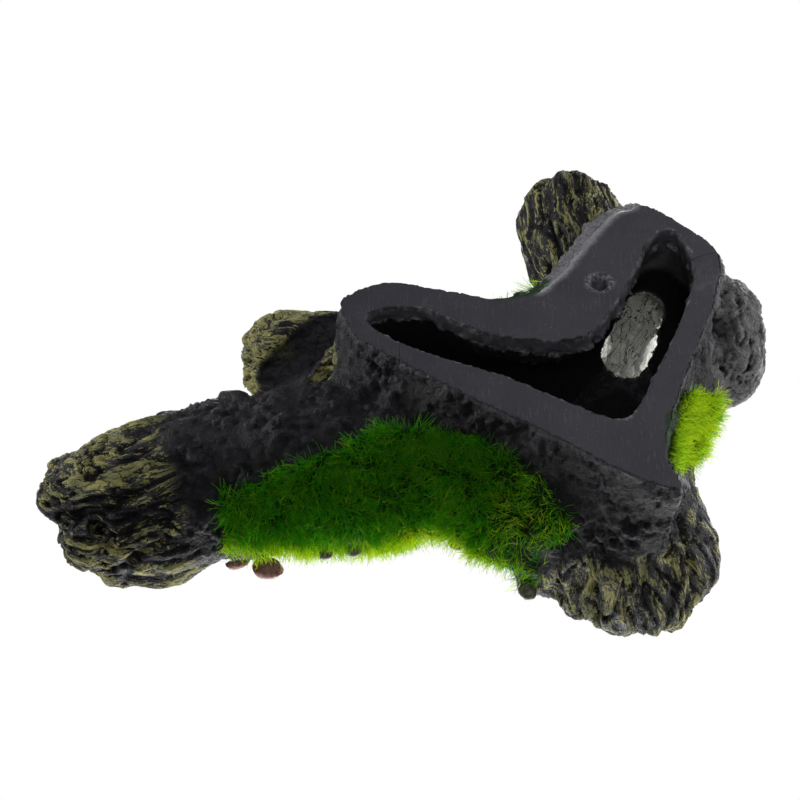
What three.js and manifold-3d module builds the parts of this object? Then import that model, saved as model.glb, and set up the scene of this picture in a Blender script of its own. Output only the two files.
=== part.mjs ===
// Resin cave ornament for an aquarium: a hollow driftwood knot that stands on a flat ring.
//
// The knot is cast as two shells that meet along a seam, and five broken branch ends are bonded
// to it on keyed joints. A looping root bridges the rear cave mouth, and flocked moss pads and
// pebbles are glued on last. Millimetres, +Z up, the ring's flat face on z = 0, +Y to the back.
import * as THREE from "three";
import { mergeVertices } from "three/addons/utils/BufferGeometryUtils.js";
import Module from "manifold-3d";

const wasm = await Module();
wasm.setup();

// ---------------------------------------------------------------- driving dimensions

const GLUE_GAP = 0.3; // bond line between neighbouring pieces
const RING_HEIGHT = 7; // height of the plain ring round the cave's floor opening
const SHOULDER_HEIGHT = 32; // height at which the walls have leaned out fully
const CAVE_SHOULDER = 24; // the same for the cave inside
const KNOT_HEIGHT = 53; // top of the knot's roof between the branches
const CAVE_HEIGHT = 41; // top of the cave inside
const KNOT_SEGMENTS = 60;
const CAVE_SEGMENTS = 44;
const BRANCH_SIDES = 22;
const BRANCH_STEPS = 9;
const LUMP = 0.9; // how far the modelled bark swells and dips
const MOSS_THICKNESS = 4;

// Outline of the ring, and how far each point has leaned out at shoulder height: x, y, dx, dy.
const RING_OUTLINE = [
  [16.5, 33, 9, -6],
  [18.5, 42.5, 7, 4],
  [6, 51, 2, 7],
  [-12, 48, 0, 6],
  [-30, 44, 0, 5],
  [-39.5, 47.2, 1, 6],
  [-49, 57, 3, 6],
  [-59, 74, 3, 8],
  [-67, 85.5, 0, 6],
  [-77, 87.5, -3, 6],
  [-88, 78.5, -6, 5],
  [-99, 64, -7, 3],
  [-95.5, 43, -9, 0],
  [-85, 12.5, -4, -3],
  [-76.6, -15, -1, -4],
  [-77, -25, 0, -3],
  [-79.5, -35.5, 3, 1],
  [-67, -31.5, 0, -3],
  [-45.5, -16, 0, -9],
  [-23, -1, 0, -11],
  [0, 15.8, 0, -18],
  [13, 26, 9, -18],
];

// Outline of the floor opening inside the ring, and how far the cave widens above it.
const OPENING_OUTLINE = [
  [10, 35.5, 4, 0],
  [6, 38.5, 2, 4],
  [-6.5, 39, 0, 5],
  [-16.5, 33, 0, 9],
  [-27, 27.5, 0, 11],
  [-43, 24.5, 0, 17],
  [-56, 27, 5, 24],
  [-66, 42, 8, 20],
  [-73, 58, 8, 15],
  [-79, 72, 0, 8],
  [-85, 74.5, -1, 4],
  [-90, 62, -4, 0],
  [-87, 43, -10, 0],
  [-79, 22, -13, 0],
  [-69, -1, -12, -3],
  [-64, -7.5, -4, -6],
  [-50, -1, 0, -8],
  [-30, 11, 0, -9],
  [-12, 18.5, 0, -10],
  [3, 27, 4, -10],
];

// Points that see the whole of each outline.
const RING_CENTRE = [-50, 7];
const OPENING_CENTRE = [-57, 2];

// The seam between the two shells, seen from above. It crosses the ring only at its two ends.
const SEAM = [
  [0, -90],
  [0, 26],
  [-28, 20],
  [-58, 14],
  [-74, 40],
  [-84, 59],
  [-99, 65],
  [-150, 70],
];

// Branches: the middle line, the radius along it, and where its joint is cut, with its key.
const BRANCHES = {
  long_branch: {
    path: [[-8, 8, 33], [30, 8, 36.5], [58, 4, 40], [80, -2, 42.5], [96, -2, 42.5], [107, 3, 42]],
    radii: [22, 25, 24.5, 24, 19, 8.5],
    joint: { at: [33, 8, 37], towards: [1, -0.06, 0.1], key: 9 },
  },
  right_rear_stub: {
    path: [[0, 40, 24], [14, 42, 26], [28, 44, 28], [40, 46, 29], [48, 47, 29.5]],
    radii: [14, 16.5, 16.5, 15, 8.5],
    joint: { at: [25, 43.6, 27.6], towards: [1, 0.14, 0.1], key: 6 },
  },
  rear_stub: {
    path: [[-60, 60, 32], [-59, 80, 27], [-56, 97, 21.5], [-55, 108, 18.5], [-54.5, 114, 18]],
    radii: [14, 16.5, 17.3, 15.5, 9.5],
    joint: { at: [-58, 88, 24.5], towards: [0.14, 1, -0.3], key: 7 },
  },
  left_burl: {
    path: [[-76, 50, 25], [-89, 52, 26], [-101, 53, 26], [-109, 54, 25.5], [-113.5, 54, 25]],
    radii: [18, 21, 21, 17, 10.5],
    joint: { at: [-98, 52.6, 26], towards: [-1, 0.06, 0], key: 5 },
  },
  front_stump: {
    path: [[-62, -8, 18], [-64, -10, 32], [-67.5, -12, 46], [-70, -13, 57], [-70, -13, 64]],
    radii: [19, 22.5, 25.5, 27, 21],
    joint: { at: [-67.7, -12.1, 47], towards: [-0.2, -0.1, 1], key: 7 },
  },
};

// The log that joins the long branch to the front stump under the bark of the front wall.
const FRONT_LOG = {
  path: [[22, 8, 36], [0, 5, 35], [-20, 0, 33.5], [-38, -7.5, 39], [-54, -11, 41]],
  radii: [25, 22, 17, 18.5, 22],
};

// The looping root over the rear cave mouth.
const LOOP_ROOT = {
  path: [[-52, 39, 47], [-63, 52, 56], [-70, 65, 57], [-75, 78, 53], [-79, 87, 46], [-81, 86, 36]],
  radii: [7.5, 8, 8.2, 8, 8, 7],
};

// The rear cave mouth is a slot that slopes up and back: three bores that run together.
const REAR_MOUTHS = [
  { path: [[-77.5, 51, 12], [-78, 69, 30], [-78.5, 86, 47], [-78.5, 98, 59]], radii: [6.5, 7, 8, 9] },
  { path: [[-74, 42, 13], [-75, 59, 30], [-76, 79, 50], [-76, 91, 62]], radii: [7, 7.5, 8, 9] },
  { path: [[-70, 34, 14], [-71.5, 50, 30], [-73, 71, 51], [-73, 85, 65]], radii: [7.5, 8, 9, 9.5] },
];
// The smooth hollow on the underside between the long branch and the right rear stub.
const SIDE_HOLLOW = {
  path: [[12, 52, 8], [23, 43, 13], [33, 34, 18], [48, 25, 24]],
  radii: [6, 7, 7.5, 7],
};
const KNOT_HOLE = { at: [89, -6, 48], towards: [0, 1, 1], radius: 2.1, length: 74 };

// Moss pads: an outline on a plane through the design origin, and how far the pad reaches along
// the plane's normal. The plane's axes are the outline's two directions.
const FORWARD_DOWN = { across: [1, 0, 0], along: [0, 0.707, -0.707] };
const MOSS_PADS = {
  front_moss: {
    ...FORWARD_DOWN,
    depth: [-60, 38],
    outline: [[51, -29], [44, -26], [30, -20.5], [16, -15], [4, -9.5], [-12, -11], [-23, -12.5],
      [-29, -18], [-29, -26], [-22, -40], [-22, -56], [0, -60], [36, -60], [51, -50]],
  },
  stump_moss: {
    ...FORWARD_DOWN,
    depth: [-60, 34],
    outline: [[-30.5, -19], [-38, -22.5], [-46.5, -32], [-47.5, -38], [-40, -44], [-40, -62],
      [-24, -62], [-24, -41], [-30.5, -27]],
  },
  left_moss: {
    ...FORWARD_DOWN,
    depth: [-40, 36],
    outline: [[-78, -3], [-84, 0.5], [-95, 0], [-99, -5], [-97, -12], [-88, -17], [-78, -18]],
  },
  rear_moss: {
    ...FORWARD_DOWN,
    depth: [20, 70],
    outline: [[-28, 30], [-44, 30], [-44, 46], [-28, 46]],
  },
  crown_moss: {
    across: [1, 0, 0],
    along: [0, 1, 0],
    depth: [40, 80],
    outline: [[-40, 12], [-16, 8], [8, 18], [16, 32], [-4, 44], [-30, 40], [-44, 28]],
  },
};

// Pebbles and chips: the middle, the three half sizes, and the turn about +Z in degrees.
const PEBBLES = {
  red_pebble: { at: [40, -14.2, 58.2], size: [4.7, 3.5, 3.4], turn: 15 },
  brown_pebble: { at: [49, -12, 57], size: [4, 2.7, 2.4], turn: -30 },
  dark_pebble: { at: [-17, -13.3, 47.4], size: [2.8, 2.4, 2.2], turn: 50 },
  olive_pebble: { at: [-38, -24.6, 56], size: [3.4, 2.8, 2.8], turn: 80 },
  moss_chip: { at: [14, -17, 46.8], size: [2.4, 2, 1.9], turn: 10 },
  rim_chip: { at: [22, -17.4, 47.8], size: [2.2, 1.8, 1.8], turn: -40 },
  crown_pebble: { at: [-47, 20, 54.8], size: [5.2, 4, 3.6], turn: 25 },
  crown_chip: { at: [-45, 11, 54.4], size: [3.2, 2.6, 2.4], turn: -20 },
};

// ---------------------------------------------------------------- shared shape helpers

const vector = (values) => new THREE.Vector3(...values);

/** A closed three.js geometry as a solid that can be joined and cut. */
function solidFrom(geometry) {
  const bare = geometry.clone();
  bare.deleteAttribute("normal");
  bare.deleteAttribute("uv");
  const merged = mergeVertices(bare, 1e-4);
  const mesh = new wasm.Mesh({
    numProp: 3,
    vertProperties: new Float32Array(merged.attributes.position.array),
    triVerts: new Uint32Array(merged.index.array),
  });
  return new wasm.Manifold(mesh);
}

/** A solid as a three.js geometry. Only its largest body is kept, so no crumb is left by a cut. */
function geometryFrom(solid) {
  const bodies = solid.decompose().sort((a, b) => b.volume() - a.volume());
  const mesh = bodies[0].getMesh();
  const geometry = new THREE.BufferGeometry();
  geometry.setAttribute("position", new THREE.BufferAttribute(mesh.vertProperties, 3));
  geometry.setIndex(new THREE.BufferAttribute(mesh.triVerts, 1));
  geometry.computeVertexNormals();
  return geometry;
}

/** Slow swells and dips of the bark at a point, between about -1 and 1. */
function swell(x, y, z) {
  const along = Math.sin(x * 0.21 + 1.3 * Math.sin(y * 0.13));
  const across = Math.sin(y * 0.24 + z * 0.11 + 0.7);
  const upward = Math.sin(z * 0.31 + x * 0.08 + 2.1);
  return (along + across + upward) / 3;
}

/** Moves every vertex of a geometry to where place(point) says. */
function reshape(geometry, place) {
  const position = geometry.attributes.position;
  const point = new THREE.Vector3();
  for (let i = 0; i < position.count; i++) {
    point.fromBufferAttribute(position, i);
    const moved = place(point);
    position.setXYZ(i, moved.x, moved.y, moved.z);
  }
  return geometry;
}

/**
 * A star-shaped body raised on a closed outline. The profile's points are (share of the way
 * from the centre to the outline, height). grow moves its skin outwards.
 */
function raisedBody({ outline, centre: [cx, cy], profile, segments, ringHeight, shoulder, grow = 0, lump = 0 }) {
  const ring = new THREE.CatmullRomCurve3(
    outline.map(([x, y]) => new THREE.Vector3(x, y, 0)), true, "centripetal");
  const lean = new THREE.CatmullRomCurve3(
    outline.map(([x, y, dx, dy]) => new THREE.Vector3(x + dx, y + dy, 0)), true, "centripetal");
  const centre = new THREE.Vector3(cx, cy, 0);
  const lathe = new THREE.LatheGeometry(
    profile.map(([share, height]) => new THREE.Vector2(share, height)), segments);
  return reshape(lathe, (p) => {
    const share = Math.hypot(p.x, p.z);
    const turn = (Math.atan2(-p.z, p.x) / (2 * Math.PI) + 1) % 1;
    const leaned = THREE.MathUtils.smoothstep(p.y, ringHeight, shoulder);
    const rim = ring.getPoint(turn).lerp(lean.getPoint(turn), leaned);
    const out = rim.clone().sub(centre);
    const reach = out.length();
    const bump = lump * leaned * swell(rim.x, rim.y, p.y);
    out.multiplyScalar((share * (reach + grow + bump)) / reach);
    const raised = p.y > shoulder ? p.y + grow : p.y;
    return new THREE.Vector3(centre.x + out.x, centre.y + out.y, raised);
  });
}

/** A closed log along a curve, with a radius that changes along it. */
function log({ path, radii }, { grow = 0, sides = BRANCH_SIDES, steps = BRANCH_STEPS, lump = 0 } = {}) {
  const line = new THREE.CatmullRomCurve3(path.map(vector));
  const sizes = new THREE.CatmullRomCurve3(radii.map((r, i) => new THREE.Vector3(i, r, 0)));
  const barrel = new THREE.CylinderGeometry(1, 1, 1, sides, steps);
  return reshape(barrel, (p) => {
    const t = THREE.MathUtils.clamp(p.y + 0.5, 0, 1);
    const middle = line.getPoint(t);
    const ahead = line.getTangent(t);
    const side = new THREE.Vector3(1, 1, -1).cross(ahead).normalize();
    const up = side.clone().cross(ahead);
    const spoke = side.multiplyScalar(p.x).add(up.multiplyScalar(p.z));
    const skin = sizes.getPoint(t).y + grow;
    const rim = middle.clone().addScaledVector(spoke, skin);
    const bump = lump * swell(rim.x, rim.y, rim.z);
    const overhang = grow * (t === 1 ? 1 : t === 0 ? -1 : 0);
    return middle.addScaledVector(spoke, skin + bump).addScaledVector(ahead, overhang);
  });
}

/** Turns and moves a geometry so that its +Y axis points along a direction from a point. */
function placeAlong(geometry, at, towards) {
  const turn = new THREE.Quaternion().setFromUnitVectors(
    new THREE.Vector3(0, 1, 0), vector(towards).normalize());
  return geometry.applyQuaternion(turn).translate(...at);
}

// ---------------------------------------------------------------- the whole knot, before cutting

/** The knot with all its branches as one solid skin, moved outwards by grow. */
function wholeSkin(grow = 0) {
  const knot = raisedBody({
    outline: RING_OUTLINE,
    centre: RING_CENTRE,
    profile: [[0, 0], [0.5, 0], [1, 0], [1, 4], [1, 9], [1, 15], [1, 22], [1, 29], [0.995, 36],
      [0.97, 42], [0.9, 47], [0.74, 50.5], [0.45, 52.5], [0, KNOT_HEIGHT]],
    segments: KNOT_SEGMENTS,
    ringHeight: 0,
    shoulder: SHOULDER_HEIGHT,
    grow,
    lump: LUMP,
  });
  let skin = solidFrom(knot);
  for (const branch of [FRONT_LOG, ...Object.values(BRANCHES)]) {
    skin = skin.add(solidFrom(log(branch, { grow, lump: LUMP })));
  }
  return skin;
}

/** Everything that is open: the cave with its floor opening, and the mouths that lead into it. */
function hollows() {
  const cave = raisedBody({
    outline: OPENING_OUTLINE,
    centre: OPENING_CENTRE,
    profile: [[0, -3], [1, -3], [1, 3], [1, RING_HEIGHT], [1, 11], [1, 17], [1, CAVE_SHOULDER],
      [0.93, 30], [0.8, 35], [0.5, 39], [0, CAVE_HEIGHT]],
    segments: CAVE_SEGMENTS,
    ringHeight: RING_HEIGHT,
    shoulder: CAVE_SHOULDER,
  });
  const hole = new THREE.CylinderGeometry(
    KNOT_HOLE.radius, KNOT_HOLE.radius * 1.4, KNOT_HOLE.length, 10);
  let open = solidFrom(cave).add(solidFrom(placeAlong(hole, KNOT_HOLE.at, KNOT_HOLE.towards)));
  for (const mouth of [...REAR_MOUTHS, SIDE_HOLLOW]) {
    open = open.add(solidFrom(log(mouth, { sides: 16, steps: 4 })));
  }
  return open;
}

/** The side of the seam that the front shell lies on. */
function frontSide() {
  const plan = new THREE.Shape(
    [...SEAM.map(([x, y]) => new THREE.Vector2(x, y)), new THREE.Vector2(-150, -90)]);
  const block = new THREE.ExtrudeGeometry(plan, { depth: 110, bevelEnabled: false });
  return solidFrom(block.translate(0, 0, -20));
}

/** The part of a branch that lies past its joint, with its skin and its joint moved by grow. */
function pastJoint({ path, radii, joint: { at, towards } }, grow) {
  const size = 120;
  const block = new THREE.BoxGeometry(size, size, size).translate(0, size / 2 - grow, 0);
  return solidFrom(log({ path, radii }, { grow, lump: LUMP }))
    .intersect(solidFrom(placeAlong(block, at, towards)));
}

/** The tapered key on a branch's root, which seats in the shell. */
function jointKey({ at, towards, key }, grow) {
  const length = 8;
  const overlap = 1.5;
  const cone = new THREE.CylinderGeometry(
    key + grow, key * 0.7 + grow, length + grow + overlap, 16);
  cone.translate(0, overlap - (length + grow + overlap) / 2, 0);
  return solidFrom(placeAlong(cone, at, towards));
}

// ---------------------------------------------------------------- castings

/** Cuts each branch from what is left of the knot, and returns the branches and the rest. */
function cutBranches(whole) {
  const pieces = {};
  let rest = whole;
  for (const [name, branch] of Object.entries(BRANCHES)) {
    const claim = (grow) => pastJoint(branch, grow).add(jointKey(branch.joint, grow));
    pieces[name] = rest.intersect(claim(0));
    rest = rest.subtract(claim(GLUE_GAP));
  }
  return [pieces, rest];
}

const nearSkin = wholeSkin(GLUE_GAP);
const [castings, knot] = cutBranches(wholeSkin().subtract(hollows()));
const seam = frontSide();
castings.front_shell = knot.intersect(seam);
castings.rear_shell = knot.subtract(seam.add(seam.translate(GLUE_GAP, GLUE_GAP, 0)));
castings.loop_root = solidFrom(log(LOOP_ROOT, { sides: 14, steps: 12, lump: 0.5 }))
  .subtract(nearSkin);

// ---------------------------------------------------------------- moss and pebbles

/** A block whose cross-section is an outline drawn on a tilted plane. */
function tiltedPrism({ across, along, depth: [near, far], outline }) {
  const shape = new THREE.Shape(outline.map(([u, v]) => new THREE.Vector2(u, v)));
  const block = new THREE.ExtrudeGeometry(shape, { depth: far - near, bevelEnabled: false });
  block.translate(0, 0, near);
  const normal = vector(across).cross(vector(along)).normalize();
  const turn = new THREE.Matrix4().makeBasis(vector(across), vector(along), normal);
  return solidFrom(block.applyMatrix4(turn));
}

/** A rounded stone that rests in the bark, with its skin moved outwards by grow. */
function pebbleSolid({ at, size, turn }, grow) {
  const ball = new THREE.SphereGeometry(1, 12, 8);
  reshape(ball, (p) => p.clone().multiplyScalar(1 + 0.12 * swell(p.x * 9, p.y * 9, p.z * 9)));
  ball.scale(...size.map((half) => half + grow));
  ball.rotateZ(THREE.MathUtils.degToRad(turn)).translate(...at);
  return solidFrom(ball);
}

const mossLayer = wholeSkin(MOSS_THICKNESS).subtract(nearSkin);
const pebbles = Object.fromEntries(
  Object.entries(PEBBLES).map(([name, stone]) => [name, pebbleSolid(stone, 0).subtract(nearSkin)]));
let stoneRoom = null;
for (const stone of Object.values(PEBBLES)) {
  const room = pebbleSolid(stone, GLUE_GAP);
  stoneRoom = stoneRoom ? stoneRoom.add(room) : room;
}
const moss = {};
for (const [name, pad] of Object.entries(MOSS_PADS)) {
  moss[name] = mossLayer.intersect(tiltedPrism(pad)).subtract(stoneRoom);
}

// ---------------------------------------------------------------- finished pieces

const RESIN = new THREE.MeshStandardMaterial({ color: 0x2c2c2f, roughness: 0.62 });
const BARK = new THREE.MeshStandardMaterial({ color: 0x55563a, roughness: 0.75 });
const MOSS = new THREE.MeshStandardMaterial({ color: 0x3f7d16, roughness: 0.9 });
const STONE = new THREE.MeshStandardMaterial({ color: 0x6f5347, roughness: 0.8 });

const ornament = new THREE.Group();

function addPieces(solids, materialOf) {
  for (const [name, solid] of Object.entries(solids)) {
    const piece = new THREE.Mesh(geometryFrom(solid), materialOf(name));
    piece.name = name;
    ornament.add(piece);
  }
}

addPieces(castings, (name) => (name.endsWith("shell") ? RESIN : BARK));
addPieces(moss, () => MOSS);
addPieces(pebbles, () => STONE);

// The origin is the middle of the ornament's footprint, on the floor.
const middle = new THREE.Box3().setFromObject(ornament).getCenter(new THREE.Vector3());
ornament.position.set(-middle.x, -middle.y, 0);

export default ornament;
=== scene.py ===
"""Visual model of a resin cave ornament: driftwood castings, flocked moss, stones and studio."""

from __future__ import annotations

import logging
import math
from dataclasses import dataclass, field
from enum import Enum

import bmesh
import bpy
import numpy as np
from mathutils import Matrix, Vector
from mathutils.bvhtree import BVHTree


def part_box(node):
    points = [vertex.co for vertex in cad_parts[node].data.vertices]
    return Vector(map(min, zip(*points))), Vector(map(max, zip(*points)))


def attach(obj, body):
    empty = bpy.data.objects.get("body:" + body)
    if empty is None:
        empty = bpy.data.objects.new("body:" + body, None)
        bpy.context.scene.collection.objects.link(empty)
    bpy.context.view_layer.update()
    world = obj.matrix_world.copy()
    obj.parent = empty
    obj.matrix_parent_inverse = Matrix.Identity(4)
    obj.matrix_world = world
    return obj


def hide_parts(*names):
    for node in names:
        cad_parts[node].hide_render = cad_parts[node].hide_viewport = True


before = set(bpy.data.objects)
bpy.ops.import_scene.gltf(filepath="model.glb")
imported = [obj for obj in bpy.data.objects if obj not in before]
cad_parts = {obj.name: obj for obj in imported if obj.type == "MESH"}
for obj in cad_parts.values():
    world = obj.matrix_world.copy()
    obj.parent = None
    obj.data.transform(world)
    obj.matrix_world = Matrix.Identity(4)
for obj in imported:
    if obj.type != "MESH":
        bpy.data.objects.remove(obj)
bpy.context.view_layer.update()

LOG = logging.getLogger("ornament")
Colour = tuple[float, float, float, float]
MM = 0.001
BODY = "root"

# The ring's own drawing has its origin on the front band. This is that point in the frame, in mm.
DRAWING_ORIGIN = np.array([2.188, -37.682, 0.0])

# Outline of the cave's floor opening on the drawing, and how far the cave widens above it.
OPENING_OUTLINE = np.array([
    [10, 35.5, 4, 0], [6, 38.5, 2, 4], [-6.5, 39, 0, 5], [-16.5, 33, 0, 9], [-27, 27.5, 0, 11],
    [-43, 24.5, 0, 17], [-56, 27, 5, 24], [-66, 42, 8, 20], [-73, 58, 8, 15], [-79, 72, 0, 8],
    [-85, 74.5, -1, 4], [-90, 62, -4, 0], [-87, 43, -10, 0], [-79, 22, -13, 0],
    [-69, -1, -12, -3], [-64, -7.5, -4, -6], [-50, -1, 0, -8], [-30, 11, 0, -9],
    [-12, 18.5, 0, -10], [3, 27, 4, -10]], float)

# Middle lines of the branches on the drawing, each with the radius there: x, y, z, r.
LONG_BRANCH = np.array([[-8, 8, 33, 22], [30, 8, 36.5, 25], [58, 4, 40, 24.5],
                        [80, -2, 42.5, 24], [96, -2, 42.5, 19], [107, 3, 42, 8.5]], float)
RIGHT_REAR_STUB = np.array([[0, 40, 24, 14], [14, 42, 26, 16.5], [28, 44, 28, 16.5],
                            [40, 46, 29, 15], [48, 47, 29.5, 8.5]], float)
REAR_STUB = np.array([[-60, 60, 32, 14], [-59, 80, 27, 16.5], [-56, 97, 21.5, 17.3],
                      [-55, 108, 18.5, 15.5], [-54.5, 114, 18, 9.5]], float)
LEFT_BURL = np.array([[-76, 50, 25, 18], [-89, 52, 26, 21], [-101, 53, 26, 21],
                      [-109, 54, 25.5, 17], [-113.5, 54, 25, 10.5]], float)
FRONT_STUMP = np.array([[-62, -8, 18, 19], [-64, -10, 32, 22.5], [-67.5, -12, 46, 25.5],
                        [-70, -13, 57, 27], [-70, -13, 64, 21]], float)
LOOP_ROOT = np.array([[-52, 39, 47, 7.5], [-63, 52, 56, 8], [-70, 65, 57, 8.2],
                      [-75, 78, 53, 8], [-79, 87, 46, 8], [-81, 86, 36, 7]], float)

# The broken bubble in the ring, the outline of the facet behind it, and the smooth hollow between
# the long branch and the right rear stub, with its radius.
DIMPLE = np.array([-60.8, 50.6, 0.0])
BACK_EDGE = np.array([[-42, 48.5], [-49, 57], [-59, 74], [-67, 85.5], [-72, 87]], float)
SIDE_HOLLOW = np.array([[12, 52, 8, 6], [23, 43, 13, 7], [33, 34, 18, 7.5], [48, 25, 24, 7]], float)
HOLLOW_FILL = 1.8  # how far the skin is raised in that hollow, in mm

# The cave narrows round this plan point from its shoulder height up, in these steps.
CAVE_CENTRE = np.array([-57.0, 2.0])
CAVE_SHARES = (1.0, 0.93, 0.8, 0.5)

# Up and forward at 45 degrees, and the direction across it in which the burl is cracked.
UP_FORWARD = np.array([0.0, 0.7071, 0.7071])
DOWN_FORWARD = np.array([0.0, 0.7071, -0.7071])

HEM_COLUMN = 4.0  # width in mm of the columns in which a patch's lowest fibres are found
FIBRE_CLEARANCE = 0.0045  # height in metres below which a fibre may not lean down
FIBRE_DROP = -0.62  # how steeply a fibre may lean down, for each length of room under it


# ---------------------------------------------------------------- noise


def smooth01(edge0: float, edge1: float, value: np.ndarray) -> np.ndarray:
    """Smooth step from 0 at edge0 to 1 at edge1.

    Args:
        edge0: value where the step starts.
        edge1: value where the step is complete.
        value: the numbers to shape.

    Returns:
        The shaped numbers, between 0 and 1.
    """
    t = np.clip((value - edge0) / (edge1 - edge0), 0.0, 1.0)
    return t * t * (3.0 - 2.0 * t)


def cell_hash(cells: np.ndarray, seed: int) -> np.ndarray:
    """Three repeatable random numbers for each lattice cell.

    Args:
        cells: whole-number lattice points, one row each.
        seed: the pattern's number.

    Returns:
        Numbers between 0 and 1, three to a row.
    """
    c = cells.astype(np.int64).astype(np.uint64)
    h = (c[:, 0] * np.uint64(73856093)) ^ (c[:, 1] * np.uint64(19349663))
    h = h ^ (c[:, 2] * np.uint64(83492791)) ^ np.uint64(seed * 2654435761 % (1 << 32))
    out = np.empty((len(cells), 3))
    for k in range(3):
        h = (h ^ (h >> np.uint64(31))) * np.uint64(0x7FB5D329728EA185)
        h = (h ^ (h >> np.uint64(27))) * np.uint64(0x81DADEF4BC2DD44D)
        h = h ^ (h >> np.uint64(33))
        out[:, k] = (h & np.uint64(0xFFFFFF)).astype(float) / 0xFFFFFF
    return out


def gradient_noise(points: np.ndarray, seed: int) -> np.ndarray:
    """Smooth gradient noise with features about one unit across.

    Args:
        points: sample points, one row each.
        seed: the pattern's number.

    Returns:
        Values between about -1 and 1.
    """
    base = np.floor(points)
    local = points - base
    fade = local * local * local * (local * (local * 6 - 15) + 10)
    total = np.zeros(len(points))
    for corner in np.ndindex(2, 2, 2):
        offset = np.array(corner, float)
        slope = cell_hash(base + offset, seed) * 2 - 1
        weight = np.prod(np.where(offset > 0, fade, 1 - fade), axis=1)
        total += weight * np.einsum("ij,ij->i", slope, local - offset)
    return total * 1.6


def layered_noise(points: np.ndarray, size: float, layers: int, seed: int) -> np.ndarray:
    """Several octaves of gradient noise.

    Args:
        points: sample points in mm.
        size: size of the largest features in mm.
        layers: number of octaves.
        seed: the pattern's number.

    Returns:
        Values between about -1 and 1.
    """
    total, weight, scale = np.zeros(len(points)), 1.0, 1.0 / size
    for layer in range(layers):
        total += weight * gradient_noise(points * scale + 17.3 * layer, seed + layer)
        weight *= 0.5
        scale *= 2.07
    return total


def warp_noise(points: np.ndarray, size: float, seed: int) -> np.ndarray:
    """Returns a row of three gradient noises at each point, with features of one size in mm."""
    return np.stack([gradient_noise(points / size, seed + k) for k in range(3)], 1)


def cell_noise(points: np.ndarray, size: float, seed: int) -> tuple[np.ndarray, np.ndarray]:
    """Distances to the nearest and second nearest of scattered seeds.

    Args:
        points: sample points in mm.
        size: the seeds' spacing in mm.
        seed: the pattern's number.

    Returns:
        The two distances, in units of the spacing.
    """
    scaled = points / size
    base = np.floor(scaled)
    first = np.full(len(points), 9.0)
    second = np.full(len(points), 9.0)
    for corner in np.ndindex(3, 3, 3):
        cell = base + np.array(corner, float) - 1
        gap = np.linalg.norm(cell + cell_hash(cell, seed) - scaled, axis=1)
        second = np.minimum(second, np.maximum(first, gap))
        first = np.minimum(first, gap)
    return first, second


def spline_points(nodes: np.ndarray, steps: int) -> np.ndarray:
    """Points along a smooth curve through the given ones.

    Args:
        nodes: control points, one row each, of any width.
        steps: points wanted between neighbours.

    Returns:
        The sampled rows.
    """
    padded = np.vstack([2 * nodes[0] - nodes[1], nodes, 2 * nodes[-1] - nodes[-2]])
    rows = []
    for i in range(1, len(padded) - 2):
        a, b, c, d = padded[i - 1:i + 3]
        for t in np.linspace(0, 1, steps, endpoint=False):
            rows.append(0.5 * (2 * b + (c - a) * t + (2 * a - 5 * b + 4 * c - d) * t * t
                               + (3 * b - a - 3 * c + d) * t ** 3))
    rows.append(padded[-2])
    return np.array(rows)


# ---------------------------------------------------------------- mesh work


def placed(name: str, data: bpy.types.ID) -> bpy.types.Object:
    """Puts a mesh, a lamp or a camera in the scene.

    Args:
        name: the new object's name.
        data: what it holds.

    Returns:
        The object.
    """
    made = bpy.data.objects.new(name, data)
    bpy.context.scene.collection.objects.link(made)
    return made


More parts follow.
